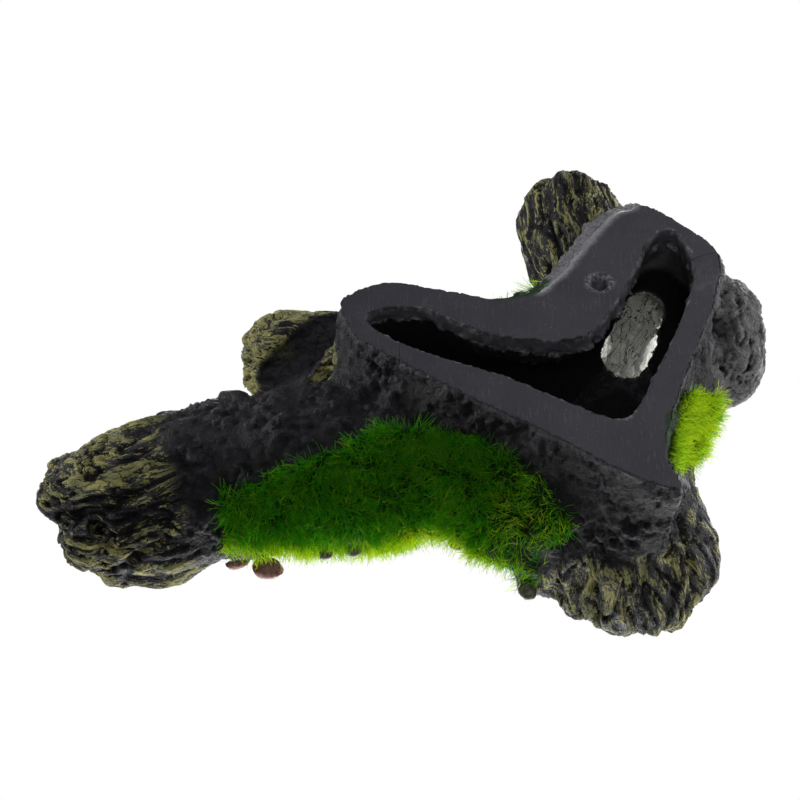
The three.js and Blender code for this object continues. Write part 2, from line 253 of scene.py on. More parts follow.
@dataclass
class Skin:
    """A dense skin of faces being sculpted, with its points in mm on the drawing."""

    points: np.ndarray
    faces: np.ndarray
    marks: dict[str, np.ndarray] = field(default_factory=dict)

    def normals(self) -> np.ndarray:
        """Returns the unit normal at every point."""
        p, f = self.points, self.faces
        across = np.cross(p[f[:, 2]] - p[f[:, 0]], p[f[:, 3]] - p[f[:, 1]])
        total = np.zeros_like(p)
        for k in range(4):
            for axis in range(3):
                total[:, axis] += np.bincount(f[:, k], across[:, axis], len(p))
        return total / (np.linalg.norm(total, axis=1)[:, None] + 1e-12)

    def neighbour_mean(self, values: np.ndarray) -> np.ndarray:
        """Averages a value over each point's neighbours.

        Args:
            values: one number or row for each point.

        Returns:
            The averages, in the same shape.
        """
        f, n = self.faces, len(self.points)
        a = np.concatenate([f[:, k] for k in range(4)])
        b = np.concatenate([f[:, (k + 1) % 4] for k in range(4)])
        count = np.bincount(a, minlength=n).astype(float) + 1e-9
        if values.ndim == 1:
            return np.bincount(a, values[b], n) / count
        sums = [np.bincount(a, values[b, k], n) for k in range(values.shape[1])]
        return np.stack(sums, 1) / count[:, None]

    def relax(self, rounds: int, strength: float | np.ndarray = 0.5) -> None:
        """Smooths the skin, with points on the floor plane kept on it.

        Args:
            rounds: how many times to average.
            strength: how far each point moves towards its neighbours' mean.
        """
        flat = self.points[:, 2] < 0.4
        for _ in range(rounds):
            moved = self.points + strength * (self.neighbour_mean(self.points) - self.points)
            moved[flat, 2] = 0.0
            self.points = moved

    def tree(self) -> BVHTree:
        """Returns a search tree of the skin."""
        return BVHTree.FromPolygons(self.points.tolist(), self.faces.tolist())

    def as_object(self, name: str) -> bpy.types.Object:
        """Makes the skin an object in the frame, with its marks as attributes.

        Args:
            name: the new object's name.

        Returns:
            The object, with smooth shading.
        """
        mesh = bpy.data.meshes.new(name)
        mesh.from_pydata(((self.points + DRAWING_ORIGIN) * MM).tolist(), [], self.faces.tolist())
        mesh.polygons.foreach_set("use_smooth", [True] * len(mesh.polygons))
        for key, values in self.marks.items():
            vector = values.ndim == 2
            layer = mesh.attributes.new(key, "FLOAT_VECTOR" if vector else "FLOAT", "POINT")
            layer.data.foreach_set("vector" if vector else "value", values.astype(np.float32).ravel())
        mesh.update()
        return placed(name, mesh)


def merged_copy(nodes: list[str]) -> bpy.types.Object:
    """Joins copies of CAD nodes in one temporary object with shared corners.

    Args:
        nodes: names of the CAD nodes.

    Returns:
        The temporary object.
    """
    build = bmesh.new()
    for node in nodes:
        build.from_mesh(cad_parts[node].data)
    bmesh.ops.remove_doubles(build, verts=build.verts, dist=2e-6)
    mesh = bpy.data.meshes.new("work")
    build.to_mesh(mesh)
    build.free()
    return placed("work", mesh)


def remeshed(nodes: list[str], voxel: float) -> Skin:
    """An even skin of quads over CAD nodes.

    Args:
        nodes: names of the CAD nodes, skinned together.
        voxel: the quads' size in mm.

    Returns:
        The skin.
    """
    work = merged_copy(nodes)
    remesh = work.modifiers.new("skin", "REMESH")
    remesh.mode = "VOXEL"
    remesh.voxel_size = voxel * MM
    result = work.evaluated_get(bpy.context.evaluated_depsgraph_get()).to_mesh()
    points = np.empty(len(result.vertices) * 3)
    result.vertices.foreach_get("co", points)
    faces = np.empty(len(result.polygons) * 4, np.int64)
    result.polygons.foreach_get("vertices", faces)
    skin = Skin(points.reshape(-1, 3) / MM - DRAWING_ORIGIN, faces.reshape(-1, 4))
    bpy.data.objects.remove(work)
    return skin


def cad_tree(nodes: list[str]) -> tuple[np.ndarray, BVHTree]:
    """A search tree of CAD nodes.

    Args:
        nodes: names of the CAD nodes.

    Returns:
        Their corners in mm on the drawing, and the tree.
    """
    work = merged_copy(nodes)
    points = np.array([v.co[:] for v in work.data.vertices]) / MM - DRAWING_ORIGIN
    faces = [list(f.vertices) for f in work.data.polygons]
    bpy.data.objects.remove(work)
    return points, BVHTree.FromPolygons(points.tolist(), faces)


# ---------------------------------------------------------------- sculpting fields


@dataclass
class Limb:
    """A branch's middle line, which its grain follows."""

    nodes: np.ndarray
    grain_start: float
    grain_full: float
    furrow: float
    lobes: float
    seed: int
    line: np.ndarray = field(init=False)
    run: np.ndarray = field(init=False)

    def __post_init__(self) -> None:
        """Samples the middle line."""
        self.line = spline_points(self.nodes, 14)
        steps = np.linalg.norm(np.diff(self.line[:, :3], axis=0), axis=1)
        self.run = np.concatenate([[0.0], np.cumsum(steps)])

    def frame_at(self, points: np.ndarray) -> tuple[np.ndarray, np.ndarray, np.ndarray]:
        """Finds where points lie along and round the branch.

        Args:
            points: sample points in mm.

        Returns:
            The run along the line in mm, the offset from it, and the nominal radius there.
        """
        best = np.full(len(points), 1e9)
        index = np.zeros(len(points), np.int64)
        for i, row in enumerate(self.line):
            gap = np.einsum("ij,ij->i", points - row[:3], points - row[:3])
            nearer = gap < best
            best[nearer] = gap[nearer]
            index[nearer] = i
        ahead = np.gradient(self.line[:, :3], axis=0)
        ahead /= np.linalg.norm(ahead, axis=1)[:, None]
        offset = points - self.line[index, :3]
        past = np.einsum("ij,ij->i", offset, ahead[index])
        return self.run[index] + past, offset, self.line[index, 3]

    def reach(self, points: np.ndarray) -> np.ndarray:
        """Returns the distance from the middle line, as a share of the radius."""
        _, offset, radius = self.frame_at(points)
        return np.linalg.norm(offset, axis=1) / radius

    def weight(self, points: np.ndarray) -> np.ndarray:
        """How much the branch's grain rules at each point, from 0 to 1."""
        run, offset, radius = self.frame_at(points)
        reach = np.linalg.norm(offset, axis=1) / radius
        along = smooth01(self.grain_start, self.grain_full, run + 5 * gradient_noise(points / 9, 5))
        return along * (1 - smooth01(1.12, 1.35, reach))

    def stretched(self, points: np.ndarray) -> np.ndarray:
        """Coordinates in which plain noise comes out drawn along the branch.

        Args:
            points: sample points in mm.

        Returns:
            The coordinates, in mm across the branch and about a fifth of that along it.
        """
        run, offset, _ = self.frame_at(points)
        bend = warp_noise(points, 11, self.seed)
        ahead = self.line[-1, :3] - self.line[0, :3]
        ahead /= np.linalg.norm(ahead)
        flat = offset - np.outer(offset @ ahead, ahead) + 2.0 * bend
        return flat + np.outer(run * 0.2 + self.seed * 10.0, ahead)

    def grain(self, points: np.ndarray) -> tuple[np.ndarray, np.ndarray, np.ndarray]:
        """Furrows that run along the branch.

        Args:
            points: sample points in mm.

        Returns:
            The height of the grain in mm, the same from 0 in a furrow to 1 on a ridge, and the
            stretched coordinates.
        """
        drawn = self.stretched(points)
        broad = gradient_noise(drawn / 8.0, self.seed + 11)
        ridge = 1 - 2.6 * np.abs(gradient_noise(drawn / 4.0, self.seed + 7))
        crack = 1 - smooth01(0.0, 0.16, np.abs(gradient_noise(drawn / 3.4, self.seed + 5)))
        thin = gradient_noise(drawn / 1.9, self.seed + 9)
        knots = gradient_noise(points / 5.0, self.seed + 13)
        height = self.furrow * (0.5 * ridge - 1.1 * crack + 0.4 * thin + 0.35 * knots) + self.lobes * broad
        tone = np.clip(0.55 + 0.2 * ridge - 0.5 * crack + 0.2 * thin + 0.2 * broad, 0, 1)
        return height, tone, drawn


PALE_STUB = Limb(RIGHT_REAR_STUB, 10, 20, 1.15, 1.8, 23)
ROOT = Limb(LOOP_ROOT, -5, 0, 0.8, 0.8, 53)
LIMBS = [
    Limb(LONG_BRANCH, 66, 84, 1.2, 2.2, 11),
    PALE_STUB,
    Limb(REAR_STUB, 12, 22, 1.15, 2.0, 37),
    Limb(FRONT_STUMP, 13, 22, 1.2, 2.6, 41),
    ROOT,
]
BURL = Limb(LEFT_BURL, 8, 15, 0.6, 1.6, 67)


@dataclass(frozen=True)
class Dent:
    """A furrow, a pit or, with a positive height, a boss, along a line on the surface."""

    start: tuple[float, float, float]
    end: tuple[float, float, float]
    radius: float
    height: float

    def at(self, points: np.ndarray) -> np.ndarray:
        """Returns the change of height in mm at each point."""
        a, edge = np.array(self.start), np.array(self.end) - np.array(self.start)
        t = np.clip(((points - a) @ edge) / (edge @ edge + 1e-9), 0, 1)
        gap = np.linalg.norm(points - a - t[:, None] * edge, axis=1) / self.radius
        return self.height * np.clip(1 - gap * gap, 0, 1) ** 2


DENTS = (
    Dent((106, -17, 34), (95, -18, 32), 5.5, -4.5),
    Dent((111, 0, 47), (106, -14, 46), 13, -8.0),
    Dent((100, -20, 52), (94, -20, 56), 7, -4.0),
    Dent((90, -19, 30), (74.4, -14.6, 21.7), 2.8, -2.6),
    Dent((80, -22.4, 32.7), (69.3, -20.6, 29.9), 2.4, -2.0),
    Dent((87, -23.4, 48.5), (78, -24.8, 40.2), 2.6, -2.6),
    Dent((78, -24.8, 40.2), (68.9, -22.7, 34.5), 2.2, -2.0),
    Dent((87.8, -23.5, 38), (85.5, -23.3, 35), 3.4, -3.2),
    Dent((97, -22, 41), (92, -24, 43), 5.0, 1.6),
    Dent((-46.5, -28.8, 33), (-46.5, -29, 62), 2.8, -2.8),
    Dent((-55.6, -31, 31), (-56.2, -34.4, 44.3), 2.6, -2.4),
    Dent((-56.2, -34.4, 44.3), (-57.5, -38, 61), 3.0, -3.0),
    Dent((-71, -35, 30), (-73, -39, 57), 2.4, -2.0),
    Dent((-82.5, -22, 27.5), (-84.9, -28.2, 38), 2.6, -2.2),
    Dent((-84.9, -28.2, 38), (-86, -33, 54), 2.8, -2.6),
    Dent((-41, -18, 57), (-43, -22, 63), 10, 6.0),
    Dent((-92, -28, 57), (-90, -34, 60), 8, -3.4),
)


def cave_depth(points: np.ndarray) -> np.ndarray:
    """How far each point lies inside the cave's own space.

    Args:
        points: sample points in mm on the drawing.

    Returns:
        Distances in mm, positive inside the cave and negative outside it.
    """
    z = points[:, 2]
    loop = spline_points(np.vstack([OPENING_OUTLINE, OPENING_OUTLINE[:1]]), 6)[:-1]
    leaned = smooth01(7, 24, z)
    share = np.interp(z, [24, 30, 35, 39, 41], [1, 0.93, 0.8, 0.5, 0.0])
    depth = np.full(len(points), -99.0)
    for level in np.linspace(0, 1, 9):
        for s in CAVE_SHARES:
            chosen = (np.abs(leaned - level) <= 0.0626) & (np.abs(share - s) < 0.14)
            if not chosen.any():
                continue
            outline = loop[:, :2] + level * loop[:, 2:]
            outline = CAVE_CENTRE + (outline - CAVE_CENTRE) * s
            depth[chosen] = np.maximum(depth[chosen], polygon_depth(points[chosen, :2], outline))
    return depth


def polygon_depth(spots: np.ndarray, outline: np.ndarray) -> np.ndarray:
    """Signed distance to a closed outline, positive inside.

    Args:
        spots: plan points, one row each.
        outline: the outline's corners.

    Returns:
        One distance for each spot.
    """
    nearest = np.full(len(spots), 1e9)
    inside = np.zeros(len(spots), bool)
    for a, b in zip(outline, np.roll(outline, -1, axis=0)):
        edge = b - a
        t = np.clip(((spots - a) @ edge) / (edge @ edge + 1e-9), 0, 1)
        nearest = np.minimum(nearest, np.linalg.norm(spots - a - t[:, None] * edge, axis=1))
        crosses = (a[1] > spots[:, 1]) != (b[1] > spots[:, 1])
        with np.errstate(divide="ignore", invalid="ignore"):
            at = a[0] + (spots[:, 1] - a[1]) / (b[1] - a[1]) * edge[0]
        inside ^= crosses & (spots[:, 0] < at)
    return np.where(inside, nearest, -nearest)


@dataclass
class Bark:
    """The sculpted surface of the castings: lumps, grain, pits, and the sanded ring."""

    whole: Skin
    whole_tree: BVHTree
    whole_normals: np.ndarray

    @classmethod
    def of_castings(cls, nodes: list[str]) -> "Bark":
        """Measures the castings as one skin, which gives every piece the same surface.

        Args:
            nodes: names of all the castings.

        Returns:
            The bark.
        """
        whole = remeshed(nodes, 1.0)
        whole.relax(5)
        return cls(whole, whole.tree(), whole.normals())

    def settle(self, skin: Skin) -> np.ndarray:
        """Lays a piece's outside on the shared surface, over its joints too.

        Args:
            skin: the piece, changed in place.

        Returns:
            The outward direction at each point, shared where the piece is on the outside.
        """
        own = skin.normals()
        result = own.copy()
        for i, point in enumerate(skin.points.tolist()):
            spot, _, face, _ = self.whole_tree.find_nearest(point, 1.7)
            if face is None:
                continue
            shared = self.whole_normals[self.whole.faces[face]].mean(0)
            if shared @ own[i] > -0.4:
                skin.points[i] = spot
                result[i] = shared
        return result / (np.linalg.norm(result, axis=1)[:, None] + 1e-12)

    def sculpt(self, skin: Skin) -> None:
        """Moves a piece's skin in and out, and marks its finish, its painted shade and its painted light.

        Args:
            skin: the piece, changed in place.
        """
        outward = self.settle(skin)
        p = skin.points
        z = p[:, 2]
        depth = cave_depth(p)
        inner = smooth01(-1.4, -0.2, depth)
        hollow = 1 - smooth01(0.9, 1.1, self.hollow_reach(p))
        burl = BURL.weight(p)
        height, tone, grain_weight, drawn = self.textures(p, burl)
        quiet = np.maximum(inner, hollow)
        height = height * (1 - 0.8 * quiet) + quiet * 0.35 * layered_noise(p, 14, 2, 91)
        face = (z < 0.03) | ((z < 0.8) & (outward[:, 2] < -0.8))
        rim = smooth01(0.0, 2.0, z)
        height = height * (0.3 + 0.7 * rim)
        height += HOLLOW_FILL * hollow * smooth01(3.0, 8.0, z) + sum(dent.at(p) for dent in DENTS)
        moved = p + outward * np.where(face, 0.0, height)[:, None]
        slant, facet = self.bevel(p)
        moved += self.ragged_lip(p, depth) + slant
        lift = slant[:, 2]
        moved[:, 2] = np.where(face, lift, np.maximum(moved[:, 2], 0.0)) - self.dimple(p)
        skin.points = moved
        skin.marks["relief"] = np.clip(tone + 0.5 * PALE_STUB.weight(p), 0, 1)
        skin.marks["olive"] = grain_weight * (1 - quiet)
        skin.marks["burl"] = burl
        ragged = z + 1.3 * layered_noise(p, 2.6, 3, 77)
        # Painted light: the opening's sanded inner lip and the left inner wall, which the lamps barely
        # reach, are marked for a colour lighter than the ring, standing for light.
        lit_wall = smooth01(68, 78, -p[:, 0]) * (1 - smooth01(16, 24, z))
        lip_sanded_painted_light = np.maximum(1 - smooth01(5.0, 5.6, ragged), 0.8 * lit_wall)
        skin.marks["lip_sanded_painted_light"] = inner * lip_sanded_painted_light * np.where(face, 0.0, 1.0)
        skin.marks["sanded"] = np.maximum(np.where(face, 1.0, 0.0), skin.marks["lip_sanded_painted_light"])
        skin.marks["inside"] = quiet
        worn = smooth01(0.0, 0.4, z) * (1 - smooth01(1.2, 2.6, z + layered_noise(p, 5, 2, 83)))
        # Rim mark: a pale worn band along the ring's outer edge, and painted light on the back facet, which
        # the lamps leave dark.
        skin.marks["rim"] = np.maximum(0.2 * worn * (1 - inner), facet)
        # Painted shade: the cave's inside above the lip is marked to be painted near black, less so on the
        # left inner wall.
        skin.marks["cave"] = smooth01(5.4, 6.0, ragged) * inner * (1 - 0.9 * lit_wall)
        burr = np.exp(-((ragged - 5.3) / 0.45) ** 2) * inner
        edge = (1 - smooth01(0.35, 1.0, np.abs(depth))) * (1 - smooth01(0.8, 1.6, z))
        crumbs = np.maximum(burr, edge * smooth01(-0.1, 0.25, gradient_noise(p / 2.2, 81)))
        round_dimple = np.abs(np.linalg.norm(p - DIMPLE, axis=1) - 3.6)
        skin.marks["burr"] = np.maximum(crumbs, 0.8 * (1 - smooth01(0.4, 1.6, round_dimple)))
        # Painted light: the loop root's side facing down and forward is marked to be painted near white,
        # standing for light falling on it from behind through the cave.
        under = smooth01(-0.25, 0.35, -(outward @ UP_FORWARD))
        skin.marks["root"] = (1 - smooth01(1.1, 1.3, ROOT.reach(p))) * under
        skin.marks["grain"] = drawn

    @staticmethod
    def dimple(points: np.ndarray) -> np.ndarray:
        """The broken air bubble in the ring: a pit with a rough brim.

        Args:
            points: sample points in mm.

        Returns:
            How far down each point goes, in mm.
        """
        gap = np.linalg.norm((points - DIMPLE) * np.array([1.0, 0.85, 0.3]), axis=1)
        gap = gap + 0.7 * gradient_noise(points / 2.2, 93)
        return -3.0 * (1 - smooth01(1.2, 3.2, gap)) * (points[:, 2] < 1.0)

    @staticmethod
    def bevel(points: np.ndarray) -> tuple[np.ndarray, np.ndarray]:
        """The slanted facet along the back of the ring.

        Args:
            points: sample points in mm.

        Returns:
            The shift of each point in mm, and how much of the facet is there.
        """
        gap = np.full(len(points), 99.0)
        away = np.zeros((len(points), 2))
        for start, end in zip(BACK_EDGE[:-1], BACK_EDGE[1:]):
            edge = end - start
            t = np.clip(((points[:, :2] - start) @ edge) / (edge @ edge), 0, 1)
            near = np.linalg.norm(points[:, :2] - start - t[:, None] * edge, axis=1)
            closer = near < gap
            gap[closer] = near[closer]
            away[closer] = np.array([-edge[1], edge[0]]) / np.linalg.norm(edge)
        away[(away @ np.array([0.86, 0.51])) < 0] *= -1
        z = points[:, 2]
        strip = 1 - smooth01(2.2, 4.6, gap + 0.6 * gradient_noise(points / 4, 87))
        upper = smooth01(0.2, 2.5, z) * (1 - smooth01(4.5, 11.0, z)) * (1 - smooth01(5.0, 7.0, gap))
        shift = np.zeros_like(points)
        shift[:, :2] = away * (3.6 * upper)[:, None]
        shift[:, 2] = 2.1 * np.clip(1 - gap / 2.8, 0, 1) * (1 - smooth01(2.0, 5.0, z))
        return shift, strip * (1 - smooth01(5.0, 7.5, z))

    @staticmethod
    def ragged_lip(points: np.ndarray, depth: np.ndarray) -> np.ndarray:
        """Chipped edges round the floor opening.

        Args:
            points: sample points in mm.
            depth: how far each lies inside the cave.

        Returns:
            The sideways shift of each point in mm.
        """
        z = points[:, 2]
        upper = 0.3 + 1.3 * smooth01(3.5, 5.0, z) * (1 - smooth01(5.6, 7.0, z))
        share = (1 - smooth01(0.6, 3.0, np.abs(depth))) * (1 - smooth01(7.5, 9.0, z)) * upper
        shift = np.zeros_like(points)
        for axis in range(2):
            shift[:, axis] = 1.15 * share * layered_noise(points, 3.2, 3, 71 + 9 * axis)
        return shift

    def textures(self, points: np.ndarray, burl: np.ndarray) -> tuple[np.ndarray, ...]:
        """Blends lumpy bark, pitted burl and the grain of each branch.

        Args:
            points: sample points in mm.
            burl: how much of the burl there is at each point.

        Returns:
            The height in mm, its tone, the share of branch grain, and stretched coordinates.
        """
        grain_weight = np.zeros(len(points))
        height = np.zeros(len(points))
        tone = np.zeros(len(points))
        drawn = points * 0.8
        for limb in LIMBS:
            w = limb.weight(points) * (1 - grain_weight)
            if w.max() > 0:
                h, t, along = limb.grain(points)
                height += w * h
                tone += w * t
                drawn = np.where((w > 0.3)[:, None], along, drawn)
                grain_weight += w
        lumps, lump_tone = self.lumps(points)
        pits, pit_tone = self.pits(points)
        plain = (1 - grain_weight) * (1 - burl)
        height += plain * lumps + burl * (1 - grain_weight) * pits
        tone += plain * lump_tone + burl * (1 - grain_weight) * pit_tone
        return height, tone, grain_weight, drawn

    @staticmethod
    def hollow_reach(points: np.ndarray) -> np.ndarray:
        """Distance from the smooth hollow's middle line, as a share of its radius."""
        line = spline_points(SIDE_HOLLOW, 8)
        gaps = [np.linalg.norm(points - row[:3], axis=1) / row[3] for row in line]
        return np.min(gaps, axis=0)

    @staticmethod
    def lumps(points: np.ndarray) -> tuple[np.ndarray, np.ndarray]:
        """Chipped, lumpy bark.

        Args:
            points: sample points in mm.

        Returns:
            The height in mm, and a tone from 0 in a hollow to 1 on a lump.
        """
        warp = warp_noise(points, 5, 301) * 2.6
        first, second = cell_noise(points + warp, 5.2, 311)
        knob = 1 - smooth01(0.0, 0.85, first)
        crease = 1 - smooth01(0.0, 0.2, second - first)
        ridge = 1 - 2.4 * np.abs(gradient_noise((points + warp) / 4.2, 315))
        crater = 1 - smooth01(0.1, 0.36, cell_noise(points + warp, 5.4, 317)[0])
        broad = layered_noise(points, 15, 2, 331)
        fine = layered_noise(points, 2.6, 2, 337)
        ledge = smooth01(-0.07, 0.07, gradient_noise((points + warp) / 4.6, 351))
        ledge = ledge + 0.7 * smooth01(-0.06, 0.06, gradient_noise((points - warp) / 3.0, 353)) - 0.85
        rough = 0.35 + 0.65 * smooth01(-0.35, 0.35, gradient_noise(points / 10, 345))
        relief = 0.5 * knob - 0.5 * crease + 0.4 * ridge + 0.4 * fine + 0.85 * ledge
        height = 1.4 * broad + rough * relief
        height -= 1.3 * crater * smooth01(0.0, 0.4, gradient_noise(points / 8, 341))
        shade = 0.25 * knob - 0.3 * crease + 0.2 * ridge + 0.25 * ledge
        return height - 0.3, np.clip(0.35 + rough * shade + 0.3 * fine, 0, 1)

    @staticmethod
    def pits(points: np.ndarray) -> tuple[np.ndarray, np.ndarray]:
        """Pitted burl with short upright cracks.

        Args:
            points: sample points in mm.

        Returns:
            The height in mm, and a tone from 0 in a pit to 1 outside it.
        """
        tall = points - np.outer(points @ DOWN_FORWARD, DOWN_FORWARD) * 0.62
        warp = warp_noise(points, 5, 401) * 1.6
        first = cell_noise(tall + warp, 2.7, 411)[0]
        hole = (1 - smooth01(0.14, 0.4, first)) * smooth01(-0.3, 0.1, gradient_noise(points / 4, 415))
        crease = 1 - smooth01(0.0, 0.13, np.abs(gradient_noise((tall + warp) / 3.2, 419)))
        broad = layered_noise(points, 12, 2, 431)
        height = 1.5 * broad - 1.8 * hole - 0.9 * crease + 0.5 * layered_noise(points, 2.4, 2, 437)
        return height, np.clip(0.75 - 0.9 * hole - 0.4 * crease + 0.3 * broad, 0, 1)


@dataclass
class Joints:
    """The bond lines between castings."""

    shells: tuple[str, ...]
    trees: dict[str, BVHTree] = field(default_factory=dict)
    boxes: dict[str, tuple[np.ndarray, np.ndarray]] = field(default_factory=dict)

    def measure(self, nodes: list[str]) -> None:
        """Takes the castings' surfaces from the frame.

        Args:
            nodes: names of the castings.
        """
        for node in nodes:
            points, self.trees[node] = cad_tree([node])
            self.boxes[node] = (points.min(0), points.max(0))

    def pulls(self, name: str, skin: Skin, limit: float = 1.6) -> tuple[np.ndarray, np.ndarray]:
        """Finds how far each point has to move to close the bond line next to it.

        Args:
            name: the piece.
            skin: its skin.
            limit: how far to look, in mm.

        Returns:
            The gap at each point, and the move that closes it.
        """
        p = skin.points
        gaps = np.full(len(p), 9.0)
        moves = np.zeros_like(p)
        for other, tree in self.trees.items():
            if other == name:
                continue
            seam = name in self.shells and other in self.shells
            low, high = self.boxes[other]
            near = np.nonzero(((p > low - limit) & (p < high + limit)).all(1))[0]
            for i in near:
                spot, _, _, gap = tree.find_nearest(p[i].tolist(), limit)
                if spot is None or gap >= gaps[i]:
                    continue
                gaps[i] = gap
                share = 0.3 if seam else 1.0 + 0.35 / max(gap, 0.05)
                moves[i] = (np.array(spot) - p[i]) * (share if gap < 1.1 else 0.0)
        return gaps, moves


# ---------------------------------------------------------------- finishes, with painted light and shade


class Socket(Enum):
    """The kinds of value that a node group passes."""

    NUMBER = "NodeSocketFloat"
    COLOUR = "NodeSocketColor"
    VECTOR = "NodeSocketVector"


@dataclass
class Wiring:
    """A node tree being wired."""

    tree: bpy.types.NodeTree

    def add(self, kind: str, **settings: object) -> bpy.types.Node:
        """Adds a node.

        Args:
            kind: the node's type.
            settings: properties to set on it.

        Returns:
            The node.
        """
        node = self.tree.nodes.new(kind)
        for key, value in settings.items():
            setattr(node, key, value)
        return node

    def link(self, source: bpy.types.NodeSocket, target: bpy.types.NodeSocket) -> None:
        """Joins two sockets."""
        self.tree.links.new(source, target)

    def feed(self, target: bpy.types.NodeSocket, value: object) -> None:
        """Links a socket or sets a plain value.

        Args:
            target: the input.
            value: another node's output, a number or a row of numbers.
        """
        if isinstance(value, bpy.types.NodeSocket):
            self.link(value, target)
        else:
            target.default_value = value

    def math(self, operation: str, a: object, b: object = 0.5,
             clamp: bool = False) -> bpy.types.NodeSocket:
        """Returns the result of a math node."""
        node = self.add("ShaderNodeMath", operation=operation, use_clamp=clamp)
        self.feed(node.inputs[0], a)
        self.feed(node.inputs[1], b)
        return node.outputs[0]

    def times(self, a: object, b: object) -> bpy.types.NodeSocket:
        """Returns the product of two numbers."""
        return self.math("MULTIPLY", a, b)

    def plus(self, a: object, b: object, clamp: bool = False) -> bpy.types.NodeSocket:
        """Returns the sum of two numbers."""
        return self.math("ADD", a, b, clamp)

    def rest(self, share: object) -> bpy.types.NodeSocket:
        """Returns what a share leaves of one."""
        return self.math("SUBTRACT", 1.0, share)

    def vector(self, operation: str, a: object, b: object) -> bpy.types.NodeSocket:
        """Returns the result of a vector math node."""
        node = self.add("ShaderNodeVectorMath", operation=operation)
        self.feed(node.inputs[0], a)
        self.feed(node.inputs["Scale" if operation == "SCALE" else 1], b)
        return node.outputs[0]

    def stored(self, name: str) -> bpy.types.NodeSocket:
        """Returns a number stored on the mesh, in a tree of geometry nodes."""
        node = self.add("GeometryNodeInputNamedAttribute", data_type="FLOAT")
        node.inputs["Name"].default_value = name
        return node.outputs[0]

    def bump(self, shader: bpy.types.Node, height: object, strength: float, distance: float) -> None:
        """Raises a surface by a height.

        Args:
            shader: the surface's shader.
            height: the height.
            strength: how much of it shows.
            distance: what a height of one stands for, in metres.
        """
        node = self.add("ShaderNodeBump")
        node.inputs["Strength"].default_value = strength
        node.inputs["Distance"].default_value = distance
        self.feed(node.inputs["Height"], height)
        self.link(node.outputs[0], shader.inputs["Normal"])

    def mix(self, share: object, a: object, b: object) -> bpy.types.NodeSocket:
        """Returns the result of mixing two colours."""
        node = self.add("ShaderNodeMix", data_type="RGBA", blend_type="MIX")
        self.feed(node.inputs[0], share)
        self.feed(node.inputs[6], a)
        self.feed(node.inputs[7], b)
        return node.outputs[2]

    def spread(self, value: object, low: float, high: float, to_low: float = 0.0,
               to_high: float = 1.0) -> bpy.types.NodeSocket:
        """Returns a value carried from one range to another and clamped."""
        node = self.add("ShaderNodeMapRange", interpolation_type="SMOOTHSTEP")
        self.feed(node.inputs[0], value)
        for i, number in enumerate((low, high, to_low, to_high), start=1):
            node.inputs[i].default_value = number
        return node.outputs[0]

    def noise(self, vector: object, scale: float, detail: float = 4.0,
              roughness: float = 0.6) -> bpy.types.NodeSocket:
        """Returns a noise texture's value."""
        node = self.add("ShaderNodeTexNoise")
        self.feed(node.inputs["Vector"], vector)
        node.inputs["Scale"].default_value = scale
        node.inputs["Detail"].default_value = detail
        node.inputs["Roughness"].default_value = roughness
        return node.outputs["Fac"]

    def attribute(self, name: str) -> bpy.types.NodeSocket:
        """Returns a number stored on the mesh."""
        return self.add("ShaderNodeAttribute", attribute_name=name).outputs["Fac"]

    def direction(self, name: str) -> bpy.types.NodeSocket:
        """Returns a row of three numbers stored on the mesh."""
        return self.add("ShaderNodeAttribute", attribute_name=name).outputs["Vector"]

    def place(self) -> bpy.types.NodeSocket:
        """Returns the Object coordinates."""
        return self.add("ShaderNodeTexCoord").outputs["Object"]


def new_material(name: str) -> tuple[bpy.types.Material, Wiring, bpy.types.Node, bpy.types.Node]:
    """Starts a material.

    Args:
        name: the material's name.

    Returns:
        The material, its wiring, its shader and its output node.
    """
    material = bpy.data.materials.new(name)
    material.use_nodes = True
    nodes = material.node_tree.nodes
    return material, Wiring(material.node_tree), nodes["Principled BSDF"], nodes["Material Output"]


def new_group(name: str, inputs: list[tuple[str, Socket, object]],
              outputs: list[tuple[str, Socket]]) -> tuple[bpy.types.NodeTree, Wiring, dict, dict]:
    """Starts a shader node group.

    Args:
        name: the group's name.
        inputs: name, kind and default of each input.
        outputs: name and kind of each output.

    Returns:
        The group, its wiring, its input sockets and its output sockets by name.
    """
    group = bpy.data.node_groups.new(name, "ShaderNodeTree")
    for label, kind, default in inputs:
        made = group.interface.new_socket(label, in_out="INPUT", socket_type=kind.value)
        made.default_value = default
    for label, kind in outputs:
        group.interface.new_socket(label, in_out="OUTPUT", socket_type=kind.value)
    wiring = Wiring(group)
    entry = wiring.add("NodeGroupInput")
    leave = wiring.add("NodeGroupOutput")
    return (group, wiring, {s.name: s for s in entry.outputs if s.name},
            {s.name: s for s in leave.inputs if s.name})


def scuff_group() -> bpy.types.NodeTree:
    """Fine grain, pores and pale scuffs that every resin surface shares."""
    group, w, given, out = new_group(
        "resin_scuffs",
        [("Place", Socket.VECTOR, (0, 0, 0)), ("Scuff Amount", Socket.NUMBER, 0.5)],
        [("Cloud", Socket.NUMBER), ("Scuffs", Socket.NUMBER), ("Pores", Socket.NUMBER),
         ("Height", Socket.NUMBER)])
    place = given["Place"]
    cloud = w.noise(place, 55, 5, 0.65)
    streak = w.add("ShaderNodeMapping")
    w.link(place, streak.inputs["Vector"])
    streak.inputs["Scale"].default_value = (1.0, 0.12, 0.4)
    streak.inputs["Rotation"].default_value = (0.0, 0.0, 1.15)
    lines = w.spread(w.noise(streak.outputs[0], 1300, 3, 0.7), 0.52, 0.68)
    patches = w.spread(w.noise(place, 150, 3, 0.6), 0.42, 0.64)
    scuffs = w.times(w.times(lines, patches), given["Scuff Amount"])
    pores = w.spread(w.noise(place, 2400, 2, 0.5), 0.62, 0.75)
    fine = w.noise(place, 1900, 4, 0.7)
    w.link(cloud, out["Cloud"])
    w.link(scuffs, out["Scuffs"])
    w.link(pores, out["Pores"])
    w.link(w.math("SUBTRACT", w.plus(w.times(fine, 0.6), w.times(lines, 0.3)),
                  w.times(pores, 0.5)), out["Height"])
    return group


